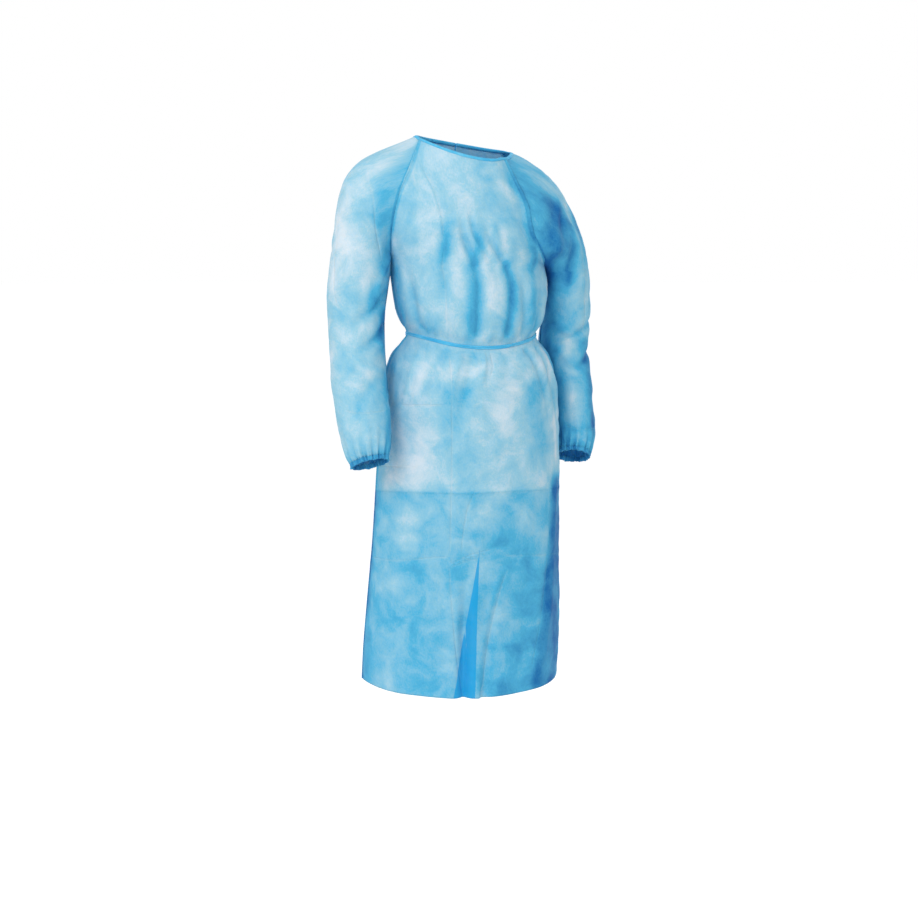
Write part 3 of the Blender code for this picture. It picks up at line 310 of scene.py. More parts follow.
def creaseDepth(creases, u, v, seed=0):
    total = np.zeros_like(u)
    for number, (kind, width, depth, fadeIn, fadeOut, points) in enumerate(creases):
        line = smoothLine(points)
        reach = width * (12 if kind.startswith("step") else 4)
        near = ((u > line[:, 0].min() - reach) & (u < line[:, 0].max() + reach)
                & (v > line[:, 1].min() - reach) & (v < line[:, 1].max() + reach))
        if not near.any():
            continue
        nearU, nearV = u[near], v[near]
        wander = valueNoise(nearU, nearV, unevenness["wanderSize"], seed + number)
        wander = wander * width * unevenness["wander"]
        best, side, share = np.full(nearU.shape, np.inf), 0.0, 0.0
        lengths = alongRow(line)
        for k in range(len(line) - 1):
            t, d, way = onSegment(line[k], line[k + 1], nearU, nearV)
            closer = d < best
            best, side = np.where(closer, d, best), np.where(closer, way, side)
            share = np.where(closer, (lengths[k] + t * (lengths[k + 1] - lengths[k])) / lengths[-1], share)
        fade = ramp(share / fadeIn) if fadeIn else 1.0
        fade = fade * (ramp((1 - share) / fadeOut) if fadeOut else 1.0)
        uneven = valueNoise(nearU, nearV, unevenness["creaseSize"], seed + 200 + number)
        uneven = unevenness["creaseLeast"] + unevenness["crease"] * uneven
        total[near] += depth * creaseShapes[kind]((best * side + wander) / width) * fade * uneven
    return total


# the big folds that the CAD has too, in thousandths: girth and z at the top and the bottom, then the rest
foldNames = "girthTop zTop girthBottom zBottom width depth softTop softBottom"


def foldRows(rows):
    return [dict(zip(foldNames.split(), row)) for row in np.array(rows, float) / 1000]


bodyFolds = foldRows([
    (-105, -150, -225, -345, 13, -6, 350, 300), (-12, -140, -55, -387, 12, -9, 300, 80),
    (40, -140, 52, -250, 8, -4.5, 300, 450), (130, -165, 95, -387, 11, -8, 300, 80),
    (160, -250, 190, -387, 10, -6, 400, 80), (300, -280, 290, -387, 12, -6, 400, 80),
    (-370, -250, -340, -387, 14, -6, 400, 80), (450, -290, 440, -387, 13, -5, 400, 80),
    (-200, -406, -300, -560, 11, -4.5, 60, 600), (-70, -406, -140, -640, 13, -5.5, 60, 600),
    (215, -406, 300, -600, 11, -6, 60, 600), (300, -406, 380, -640, 11, -6, 60, 600),
    (400, -406, 450, -620, 11, -5, 60, 600), (-80, -860, -66, -1140, 9.5, -13, 600, 0),
    (-126, -850, -102, -1140, 12, 3, 500, 0), (-36, -850, -30, -1140, 12, 4, 500, 0),
    (30, -880, 4, -1140, 11, -5, 500, 0), (230, -640, 240, -1140, 40, 6, 500, 0),
    (-300, -700, -310, -1140, 45, 6, 500, 0), (560, -560, 570, -1140, 30, -8, 500, 0),
    (740, -480, 735, -1140, 30, -10, 400, 0), (-570, -560, -575, -1140, 30, -8, 500, 0),
    (-740, -480, -745, -1140, 30, -9, 400, 0), (620, -240, 640, -387, 14, -6, 450, 80),
    (790, -220, 770, -387, 14, -7, 450, 80), (-620, -230, -640, -387, 14, -6, 450, 80),
    (-780, -210, -760, -387, 14, -7, 450, 80), (650, -406, 600, -600, 14, -6, 60, 600),
    (800, -406, 840, -600, 14, -6, 60, 600), (-660, -406, -610, -600, 14, -6, 60, 600),
    (-820, -406, -850, -600, 14, -6, 60, 600),
])
rightSleeveFolds = foldRows([
    (600, -160, 540, -330, 18, -4, 400, 500), (50, -300, 400, -415, 18, -6, 200, 600),
    (20, -370, 340, -450, 18, -6, 150, 600), (980, -350, 660, -420, 18, -5, 200, 600),
    (160, -470, 400, -580, 18, -4, 300, 500), (800, -480, 620, -600, 18, -4, 400, 500),
])
leftSleeveFolds = foldRows([
    (250, -50, 170, -330, 19, -9, 400, 400), (400, -80, 340, -260, 18, -5, 400, 500),
    (550, -345, 160, -420, 18, -6.5, 300, 400), (580, -410, 200, -490, 18, -6.5, 300, 400),
    (950, -360, 700, -430, 18, -5, 200, 600), (480, -520, 360, -620, 18, -5, 300, 400),
])


def foldDepth(folds, across, z, metresAcross):
    depth = np.zeros_like(z)
    for fold in folds:
        down = (z - fold["zTop"]) / (fold["zBottom"] - fold["zTop"])
        line = fold["girthTop"] + (fold["girthBottom"] - fold["girthTop"]) * np.clip(down, 0, 1)
        apart = (across - line) * metresAcross
        fade = ramp(down / fold["softTop"])
        if fold["softBottom"]:
            fade = fade * ramp((1 - down) / fold["softBottom"])
        depth += fold["depth"] * np.exp(-((apart / fold["width"]) ** 2)) * fade
    return depth


# folds, creases and patches of painted shade and light, in thousandths: kind, half width, depth (a trough is
# negative), fades at the start and the end, then the points (s, z) on the cloth, s going round from the
# middle to the wearer's left
def lineRows(rows):
    made = []
    for kind, *numbers in rows:
        width, depth, fadeIn, fadeOut, *points = (n / 1000 for n in numbers)
        made.append((kind, width, depth, fadeIn, fadeOut, np.reshape(points, (-1, 2))))
    return made


# what the photograph shows on the front, and the pressed lines of its pack
frontCreases = lineRows([
    ("sharp", 5, -1.4, 60, 100, -127, -62, -105, -98, -91, -147, -87, -198),
    ("sharp", 5, 1.4, 200, 100, -87, -190, -82, -273, -75, -372),
    ("sharp", 5, 1.6, 50, 100, -69, -412, -70, -520, -72, -667, -78, -853),
    ("soft", 10, -2.6, 300, 250, -59, -151, -76, -190, -85, -231, -93, -299),
    ("soft", 11, -1.4, 300, 80, -3, -151, -17, -223, -23, -295, -22, -374),
    ("soft", 7, -2, 300, 400, 22, -147, 29, -198, 36, -243),
    ("soft", 11, -1.6, 300, 80, 84, -159, 64, -206, 66, -265, 63, -374),
    ("soft", 10, -2.4, 300, 80, 106, -155, 137, -198, 125, -295, 121, -378),
    ("sharp", 5, 1.2, 150, 150, -192, -541, -75, -530),
    ("sharp", 4.5, -1.2, 40, 40, -300, -733, -140, -719, -35, -717, 77, -717, 290, -734),
    ("sharp", 4.5, 1, 100, 400, -300, -678, -200, -670, -110, -667),
    ("sharp", 5, 1.6, 40, 20, -302, -873, -205, -866, -120, -852, -83, -848),
    ("sharp", 5, 2, 40, 200, -78, -862, -50, -850, -30, -842, 19, -831),
    ("sharp", 5, 1.6, 100, 40, 26, -846, 80, -852, 190, -866, 270, -882),
    ("sharp", 5, 1.4, 100, 300, -74, -868, -40, -856, -12, -850),
    ("sharp", 5, 1.8, 50, 0, -80, -862, -75, -949, -67, -1045, -55, -1138),
    ("sharp", 5.5, 2.6, 100, 50, 196, -667, 180, -728, 151, -887, 131, -997, 103, -1100),
    ("soft", 11, -3.2, 150, 100, 218, -680, 203, -740, 176, -887, 158, -997, 132, -1100),
    ("soft", 6, -3.4, 300, 0, 41, -866, 22, -907, -7, -1018, -27, -1138),
    ("sharp", 4.5, 3, 120, 0, 51, -872, 33, -907, 4, -1018, -16, -1138),
    ("soft", 7, -4, 60, 500, 135, -408, 179, -446, 245, -541, 248, -607),
    ("soft", 7, -3.6, 60, 500, -131, -412, -160, -466, -189, -573),
    ("soft", 6, -3.6, 80, 500, -44, -408, -63, -474, -75, -560),
    ("soft", 12, 2.2, 200, 200, -176, -143, -89, -147, -7, -147, 88, -135, 115, -139),
    ("sharp", 5, 1.6, 200, 300, 18, -405, 20, -440, 8, -475),
    ("soft", 5, -3, 200, 400, 8, -405, 0, -445, -12, -490),
    ("sharp", 5, 1.4, 200, 200, -18, -700, -40, -750, -52, -820, -52, -850),
    ("sharp", 5, 1.2, 100, 300, 187, -430, 190, -540, 188, -660),
])
# soft patches of painted shade (deeper colour) and, below zero, painted highlight (paler colour), in the same
# columns
frontPaintedShadeAndLight = lineRows([
    ("soft", 15, 500, 400, 450, -56, -145, -76, -190, -88, -235, -100, -320),
    ("soft", 14, 580, 350, 50, 0, -130, -17, -223, -23, -295, -22, -402),
    ("soft", 8, 420, 300, 400, 22, -147, 29, -198, 36, -243),
    ("soft", 16, 580, 350, 50, 84, -150, 66, -206, 66, -265, 60, -402),
    ("soft", 16, 500, 300, 50, 106, -155, 137, -198, 125, -295, 121, -402),
    ("soft", 14, -300, 300, 200, -45, -170, -50, -240, -52, -340),
    ("soft", 12, -300, 300, 200, 10, -165, 12, -240, 16, -350),
    ("soft", 12, -300, 300, 200, 50, -160, 46, -230, 40, -330),
    ("soft", 10, -180, 300, 200, 92, -190, 94, -270, 92, -350),
    ("soft", 18, 500, 100, 100, 52, -40, 90, -90, 112, -145, 130, -215),
    ("soft", 12, -160, 200, 300, 34, -60, 70, -115, 94, -170),
    ("soft", 15, 320, 100, 200, 10, -62, 42, -112, 72, -160),
    ("soft", 20, 500, 200, 100, -222, -190, -214, -280, -196, -385),
    ("soft", 60, 260, 300, 300, -60, -80, 20, -120, 60, -200),
    ("soft", 30, 240, 200, 200, -120, -300, -100, -395),
    ("soft", 54, -380, 200, 200, -130, -420, -150, -540, -150, -712),
    ("soft", 20, 340, 250, 250, -138, -425, -150, -480, -160, -550),
    ("soft", 8, 220, 250, 300, -190, -450, -204, -560, -200, -680),
    ("soft", 18, -500, 100, 400, -20, -420, -48, -480),
    ("soft", 30, -300, 100, 300, 45, -425, 50, -500, 20, -600),
    ("soft", 6, -360, 100, 200, 186, -430, 198, -560, 202, -705),
    ("soft", 20, 450, 100, 200, 236, -420, 250, -560, 254, -710),
    ("soft", 40, 420, 200, 200, 110, -450, 130, -580, 132, -700),
    ("soft", 30, 300, 200, 300, -56, -470, -70, -580, -64, -706),
    ("soft", 16, 400, 100, 200, -222, -430, -236, -560, -250, -712),
    ("soft", 22, 340, 200, 0, -290, -730, -296, -870, -290, -1138),
    ("soft", 34, -340, 200, 300, -165, -730, -172, -800, -155, -880),
    ("soft", 24, -260, 200, 300, -16, -730, -8, -810),
    ("soft", 70, 480, 300, 0, 72, -760, 85, -930, 55, -1138),
    ("step", 14, 850, 50, 0, 196, -667, 180, -728, 151, -887, 131, -997, 103, -1138),
    ("soft", 58, 1200, 60, 0, 236, -690, 218, -870, 194, -1138),
])
rightSleevePaintedShadeAndLight = lineRows([
    ("soft", 34, -380, 200, 300, 20, -90, 30, -200, 32, -330),
    ("soft", 12, 380, 200, 300, 90, -90, 118, -150, 140, -215),
    ("soft", 20, 700, 100, 300, 178, -165, 166, -235, 152, -285),
    ("soft", 12, 350, 100, 400, 165, -250, 128, -300, 100, -350),
    ("soft", 20, 660, 200, 300, 168, -330, 152, -400, 142, -460),
    ("soft", 15, 500, 100, 100, 150, -460, 146, -560, 126, -630),
    ("soft", 30, 200, 200, 200, 50, -400, 60, -500, 60, -640),
])
leftSleevePaintedShadeAndLight = lineRows([
    ("soft", 36, 840, 250, 250, 86, -85, 138, -150, 164, -215, 182, -330),
    ("soft", 8, 360, 250, 300, 56, -120, 92, -180, 112, -260, 114, -340),
    ("soft", 8, 460, 200, 300, 14, -110, 40, -170, 66, -235),
    ("soft", 9, -320, 200, 300, 34, -104, 62, -160, 84, -250, 88, -330),
    ("soft", 20, 700, 100, 100, 18, -150, 22, -260, 20, -380),
    ("soft", 10, -300, 200, 300, 54, -270, 64, -320, 60, -370),
    ("soft", 16, -600, 200, 200, 104, -385, 100, -440, 92, -500),
    ("soft", 15, -550, 200, 200, 100, -520, 96, -560, 90, -610),
    ("soft", 26, 850, 100, 100, 34, -400, 38, -500, 32, -640),
    ("soft", 20, 550, 100, 100, 158, -400, 152, -500, 140, -640),
    ("soft", 10, 350, 100, 100, 20, -600, 80, -606, 130, -600),
])
# where the pleat above the hem shows its folded layers, their blue deepened by painted shade in the pleat's
# recess, as outlines on the cloth
pleatFlaps = [
    [(-.015, -.830), (-.022, -.950), (-.026, -1.050), (-.031, -1.140), (-.044, -1.140), (-.047, -.992)],
    [(-.048, -1.002), (-.042, -1.141), (-.076, -1.141)],
]
backCreases = lineRows([  # s from the middle of the back, towards the panel's own side seam
    ("sharp", 4.5, 1.2, 40, 40, -70, -722, 60, -724, 200, -727, 300, -732),
    ("sharp", 4.5, -1.2, 40, 40, -70, -858, 60, -862, 200, -866, 300, -872),
    ("sharp", 4.5, 1, 150, 150, -50, -536, 100, -540, 260, -545),
    ("sharp", 5, 1.8, 50, 20, 150, -420, 156, -600, 160, -850, 166, -1130),
    ("sharp", 5, 1.4, 100, 50, 100, -60, 118, -150, 126, -260, 128, -372),
    ("soft", 9, -4, 300, 80, 40, -160, 56, -240, 50, -374),
    ("soft", 9, -3.8, 300, 80, 170, -200, 150, -280, 140, -374),
    ("soft", 10, -3.4, 60, 500, 60, -412, 75, -500, 100, -620),
    ("soft", 10, -3.4, 60, 500, 180, -412, 205, -500, 215, -600),
    ("soft", 16, 4, 400, 0, 70, -760, 85, -950, 90, -1138),
])
rightSleeveCreases = lineRows([  # s from the outer ridge, towards the front
    ("sharp", 5, 1.6, 100, 100, 36, -548, 70, -552, 131, -549),
    ("soft", 8, -4, 200, 200, 100, -396, 124, -403, 160, -424),
    ("soft", 8, -4, 200, 200, 70, -446, 100, -462, 150, -473),
    ("sharp", 5.5, 1.6, 150, 150, 40, -45, 102, -121, 126, -198, 147, -246),
    ("soft", 8, -4.4, 50, 400, 182, -230, 141, -293, 113, -343),
    ("soft", 8, -4.4, 50, 400, 175, -274, 129, -326, 88, -368),
    ("soft", 5, 1.2, 300, 300, 20, -380, 52, -424, 110, -500),
    ("soft", 5, 1.2, 300, 300, 120, -420, 72, -470, 20, -530),
    ("sharp", 5, 1.2, 200, 200, 10, -120, 20, -200, 30, -300, 50, -360),
    ("soft", 9, -3.6, 200, 300, -150, -300, -110, -360, -60, -400),
    ("soft", 9, -3.6, 200, 300, -160, -400, -100, -440, -40, -460),
    ("soft", 9, -3, 300, 300, -80, -120, -110, -180, -150, -230),
    ("sharp", 5, 1.4, 100, 100, -140, -552, -70, -552, 0, -549),
])
leftSleeveCreases = lineRows([
    ("soft", 11, -6, 300, 300, 51, -81, 112, -149, 161, -212, 163, -267),
    ("soft", 9, -4, 300, 300, 59, -113, 102, -177, 135, -240),
    ("soft", 8.5, -4.4, 200, 300, 152, -368, 96, -401, 37, -427),
    ("soft", 8.5, -4.4, 200, 300, 136, -422, 89, -462, 36, -497),
    ("sharp", 5, 1.8, 150, 150, 127, -599, 82, -607, 17, -609),
    ("sharp", 5, 1.4, 150, 150, 30, -60, 60, -160, 70, -300, 60, -420),
    ("soft", 9, -3.6, 200, 300, -150, -300, -110, -360, -60, -400),
    ("soft", 9, -3.6, 200, 300, -160, -400, -100, -440, -40, -460),
    ("soft", 9, -3, 300, 300, -80, -120, -110, -180, -150, -230),
    ("sharp", 5, 1.4, 150, 150, -130, -590, -70, -600, 0, -605),
])


def pressedFields(creases, u, v):  # signed distance to the nearest pressed line, and how much it shows
    fields = []
    for lengthwise in (True, False):
        distance, shown = np.full(u.shape, pressed["far"]), np.zeros_like(u)
        best = np.full(u.shape, np.inf)
        for kind, _, depth, fadeIn, fadeOut, points in creases:
            line = smoothLine(points)
            span = np.abs(line[-1] - line[0])
            if kind != "sharp" or (span[1] > span[0]) != lengthwise:
                continue
            lengths = alongRow(line)
            for k in range(len(line) - 1):
                t, d, way = onSegment(line[k], line[k + 1], u, v)
                share = (lengths[k] + t * (lengths[k + 1] - lengths[k])) / lengths[-1]
                show = ramp(share / max(fadeIn, pressed["leastFade"]))
                show = show * (ramp((1 - share) / fadeOut) if fadeOut else 1.0)
                closer = d < best
                best = np.where(closer, d, best)
                distance = np.where(closer, d * way, distance)
                show = show * np.sign(depth) * (1 - ramp((d - pressed["reach"]) / pressed["reach"]))
                shown = np.where(closer, show, shown)
        fields.append(stacked(np.clip(distance, -pressed["far"], pressed["far"]), shown, 0.0))
    return fields


def insideBy(corners, u, v):  # metres inside an outline, below zero outside
    nearest, inside = np.full(u.shape, pressed["far"]), np.zeros(u.shape, bool)
    for a, b in zip(corners, corners[1:] + corners[:1]):
        nearest = np.minimum(nearest, onSegment(a, b, u, v)[1])
        if a[1] != b[1]:
            crossing = (b[0] - a[0]) * (v - a[1]) / (b[1] - a[1]) + a[0]
            inside = inside ^ (((a[1] > v) != (b[1] > v)) & (u < crossing))
    return np.where(inside, nearest, -nearest)


def beltGathers(low, high, count, seed):  # small folds that run up and down from the waist tie
    random = np.random.default_rng(seed)
    starts = (sizes["beltTop"] + gather["gapAbove"], 1), (sizes["beltBottom"] - gather["gapBelow"], -1)
    made = []
    for number in range(count):
        at = low + (high - low) * (number + random.uniform(0.1, 0.9)) / count
        for start, way in starts:
            length = random.uniform(gather["short"], gather["long"])
            lean = random.uniform(-gather["lean"], gather["lean"])
            width = random.uniform(gather["narrow"], gather["wide"])
            depth = random.uniform(gather["shallow"], gather["deep"])
            line = [(at, start), (at + lean * length, start + way * length)]
            made.append(("soft", width, -depth, 0.05, 0.7, line))
    return made


def normalsOf(points, flip):
    down = np.gradient(points, axis=0)
    across = np.gradient(points, axis=1)
    normal = unit(np.cross(across, down))
    return -normal if flip else normal


def crumple(u, v, seed):
    s = unevenness
    broad = valueNoise(u, v, s["broadSize"], seed) * s["broad"]
    facets = ridgedNoise(u, v, s["facetSize"], seed + 1) * s["facet"]
    facets = facets + ridgedNoise(u * 1.1, v, s["smallFacetSize"], seed + 2) * s["smallFacet"]
    return broad + facets + valueNoise(u, v, s["grainSize"], seed + 3) * s["grain"]


def foldShadeAndHighlight(depth):  # painted shade and highlight: troughs look deeper blue, ridges paler
    return np.clip(-depth / paintedShadeAndToneSizes["troughDepth"], paintedShadeAndToneSizes["ridge"], paintedShadeAndToneSizes["trough"])


def paintedSideShade(edge, v, share, reach, top):  # painted shade: deeper beside a side seam, below this height
    return share * (1 - ramp(edge / reach)) * ramp((top - v) / paintedShadeAndToneSizes["sideSoft"])


def beltHold(z):  # nothing moves under the waist tie
    middle = (sizes["beltTop"] + sizes["beltBottom"]) / 2
    return ramp((np.abs(z - middle) - gather["hold"]) / gather["holdSoft"])


def crowded(columns):
    share = np.linspace(0, 1, 600)
    crowd = np.exp(-(((share - sizes["pleatCrowdAt"]) / sizes["pleatCrowdWidth"]) ** 2))
    weight = 1 + sizes["pleatCrowd"] * crowd
    total = np.concatenate([[0], np.cumsum((weight[1:] + weight[:-1]) / 2)])
    return np.interp(np.linspace(0, total[-1], columns + 1), total, share)


def panelHold(edge):  # the fine forms die away at the seams and under the neck binding
    hold = np.clip((rowAbove[:, None] - sizes["neckHold"]) / 0.10, 0, 1)
    return ramp(edge / sizes["edgeHold"]) * (1 - hold)


def seamFade(edge):  # folds die away at the raglan seams, above the armpit
    above = np.clip((clothZ - (sizes["armpitZ"] - 0.05)) / 0.09, 0, 1)[:, None]
    return 1 - above * (1 - ramp(edge / 0.035))


def easedRows(points, middleRow, times, edge):  # the cloth runs smoothly past the armpit's height
    rows = np.arange(len(points))
    weight = (1 - ramp(np.abs(rows - middleRow) / sizes["easeRows"]))[:, None] * ramp(edge / 0.05)
    for _ in range(times):
        spread = points.copy()
        spread[1:-1] = (points[:-2] + 2 * points[1:-1] + points[2:]) / 4
        points = points + (spread - points) * weight[..., None]
    return points


def frontPiece():
    share = crowded(sizes["frontColumns"])
    right = halfRows(frontDepth, pathOf(frontSeamRight), frontMiddleAt, leavesOf(frontLeavesRight, "panel"))
    left = halfRows(frontDepth, pathOf(frontSeamLeft), frontMiddleAt, leavesOf(frontLeavesLeft, "panel"))
    rows, s, edge = [], [], []
    for number in range(len(clothZ)):
        whole = np.concatenate([mirrored(right[number]), left[number][-2::-1]])
        middle = alongRow(mirrored(right[number]))[-1]
        length = alongRow(whole)[-1]
        rows.append(spaced(whole, share * length))
        s.append(share * length - middle + float(shiftOf(clothZ[number])))
        edge.append(np.minimum(share, 1 - share) * length)
    points, s, edge = np.array(rows), np.array(s), np.array(edge)
    girth = np.broadcast_to(share - 0.5, s.shape)
    z = points[..., 2]
    halfGirth = np.pi * (halfWidth(z) + 0.15) / 2
    v = np.broadcast_to(clothZ[:, None], s.shape)
    fade = seamFade(edge)
    depth = foldDepth(bodyFolds, girth, z, halfGirth) * fade
    base = withStance(points + bodyOut(points) * depth[..., None], girth)
    base = easedRows(base, sizes["bodyRows"], sizes["easeTimes"], edge)
    gathers = beltGathers(-0.24, 0.26, 19, 5)
    fine = creaseDepth(frontCreases + gathers, s, v, 11) + crumple(s, v, 3) * beltHold(v)
    fine = fine * panelHold(edge)
    aboveHem = ramp((v - paintedShadeAndToneSizes["hemPleatZ"]) / paintedShadeAndToneSizes["hemPleatSoft"])
    # painted shade in the folds' troughs, painted highlight on their ridges, and patches of painted shade and
    # light
    tone = paintedShadeAndToneSizes["frontFolds"] * foldShadeAndHighlight(fine + depth * aboveHem) + creaseDepth(frontPaintedShadeAndLight, s, v, 500)
    # painted shade towards the side seams
    tone = tone + paintedSideShade(edge, v, *paintedShadeAndToneSizes["frontSide"])
    fold = paintedShadeAndToneSizes["frontFoldZ"] - paintedShadeAndToneSizes["frontFoldCurve"] * s**2
    tone = tone + paintedShadeAndToneSizes["frontBelowFold"] * ramp((fold - v) / paintedShadeAndToneSizes["frontFoldSoft"])
    shaded = ramp((s - paintedShadeAndToneSizes["shadedChestX"]) / paintedShadeAndToneSizes["shadedChestWide"])
    tone = tone + paintedShadeAndToneSizes["shadedChest"] * shaded * ramp((v - paintedShadeAndToneSizes["shadedChestZ"]) / paintedShadeAndToneSizes["shadedChestSoft"])
    return base + normalsOf(base, True) * fine[..., None], s, v, edge, tone


def backPiece(side):
    half = halfRows(backDepth, pathOf(backSeam), pathOf(backMiddle), leavesOf(backLeaves, "panel"))
    share = np.linspace(0, 1, sizes["backColumns"] + 1)
    rows, s, girth, lift, edge = [], [], [], [], []
    for number in range(len(clothZ)):
        whole = np.concatenate([half[number], mirrored(half[number])[-2::-1]])
        middle = alongRow(half[number])[-1]
        past = float(lapOf(half[number][-1][2]))
        distance = share * (middle + past)
        lapped = ramp((distance - (middle - past - sizes["lapBlend"])) / sizes["lapBlend"])
        rows.append(spaced(whole, distance))
        girth.append(0.5 + 0.5 * distance / middle)
        lift.append(-side * sizes["layerLift"] * lapped * ramp(past / 0.012 + 1))
        s.append(middle - distance)
        edge.append(distance)
    points, girth, s, edge, lift = (np.array(a) for a in (rows, girth, s, edge, lift))
    if side < 0:
        points, girth = mirrored(points), -girth
    points = points + bodyOut(points) * lift[..., None]
    wrapped = (girth + 1) % 2 - 1
    z = points[..., 2]
    v = np.broadcast_to(clothZ[:, None], s.shape)
    depth = foldDepth(bodyFolds, wrapped, z, np.pi * (halfWidth(z) + 0.15) / 2) * seamFade(edge)
    base = withStance(points + bodyOut(points) * depth[..., None], wrapped)
    base = easedRows(base, sizes["bodyRows"], sizes["easeTimes"], edge * (s > 0.06))
    gathers = beltGathers(0.06, 0.26, 8, 30 + side)
    lapHold = ramp((s - 0.078) / 0.03)  # the lap stays flat, so its layers keep apart
    fine = creaseDepth(backCreases[:3], s, v, 20) * 0.5
    fine = fine + (creaseDepth(backCreases[3:] + gathers, s, v, 40 + side)
                   + crumple(s * side, v, 60 + side) * beltHold(v)) * lapHold
    fine = fine * panelHold(edge)
    # painted shade in the folds' troughs and beside the side seams, painted highlight on ridges
    tone = paintedShadeAndToneSizes["backFolds"] * foldShadeAndHighlight(depth + fine) + paintedSideShade(edge, v, *paintedShadeAndToneSizes["backSide"])
    tone = tone + paintedShadeAndToneSizes["backBelowFold"] * ramp((paintedShadeAndToneSizes["backFoldZ"] - v) / paintedShadeAndToneSizes["backFoldSoft"])
    return base + normalsOf(base, side < 0) * fine[..., None], s, v, edge, tone


def armFrame(arm, z):
    x, y = curve("x", "z", arm), curve("y", "z", arm)
    low, high = max(z - 0.012, arm["z"].min()), min(z + 0.012, sizes["armpitZ"])
    along = unit(np.array([x(high) - x(low), y(high) - y(low), high - low]))
    level = ramp((sizes["armpitZ"] - z) / sizes["levelReach"])
    along = unit(along * level + np.array([0, 0, 1]) * (1 - level))
    across = unit(np.cross(np.array([0, 1, 0]), along))
    return np.array([x(z), y(z), z]), across, np.cross(along, across), along


def sleeveRing(arm, z, columns, grow=0.0):
    centre, across, deep, _ = armFrame(arm, z)
    halfAcross = float(curve("across", "z", arm)(z)) + grow
    halfDeep = float(curve("deep", "z", arm)(z)) + grow
    angle = np.linspace(0, 2 * np.pi, columns + 1)
    return (centre - across * (np.cos(angle) * halfAcross)[:, None]
            - deep * (np.sin(angle) * halfDeep)[:, None])


# the cuff's tone is painted shade among its gathers, on top of its doubled layers
cuff = {
    "length": 0.0110, "wall": 0.0009, "rows": 10, "gap": -0.0018, "under": 0.0007, "squeeze": 0.0006,
    "ruffle": 0.0026, "uneven": 0.06, "tone": 0.75, "layers": 0.9, "clothAcross": 0.01, "clothRound": 2.2,
    "fineWaves": 34, "fineReach": 0.030, "fineDepth": 0.0017,
    "broadWaves": 15, "broadReach": 0.075, "broadDepth": 0.0024,
}


def gatherWave(turn, down, seed):  # down is metres above the sleeve's end
    warp = turn * cuff["fineWaves"] + valueNoise(turn * 9, down * 6, 1.0, seed) * 0.9
    fine = np.sin(2 * np.pi * warp) * (1 + 0.5 * valueNoise(turn * 14, 0 * turn, 1.0, seed + 1))
    phase = 1.7 * valueNoise(turn * 6, down * 4, 1.0, seed + 2)
    broad = np.sin(2 * np.pi * cuff["broadWaves"] * turn + phase)
    reachFine = np.clip(1 - down / cuff["fineReach"], 0, 1) ** 1.5
    reachBroad = np.clip(1 - down / cuff["broadReach"], 0, 1) ** 1.6
    return fine * reachFine * cuff["fineDepth"] + broad * reachBroad * cuff["broadDepth"]


def ringOut(rows, arm):
    z = np.clip(rows[..., 2], arm["z"].min(), sizes["armpitZ"])
    middleZ = np.minimum(rows[..., 2], sizes["shoulderCentreZ"])
    middle = stacked(curve("x", "z", arm)(z), curve("y", "z", arm)(z), middleZ)
    above = ramp((rows[..., 2] - sizes["armpitZ"]) / sizes["levelReach"])
    middle[..., 0] += (rows[..., 0] / 2 + sizes["shoulderCentreX"] - middle[..., 0]) * above
    return unit(rows - middle)


sleeveTables = {
    1: (leftArm, leftSleeveFolds, leftSleeveCreases, leftSleevePaintedShadeAndLight, frontSeamLeft, frontLeavesLeft,
        shoulderLeft),
    -1: (rightArm, rightSleeveFolds, rightSleeveCreases, rightSleevePaintedShadeAndLight, frontSeamRight, frontLeavesRight,
         shoulderRight),
}


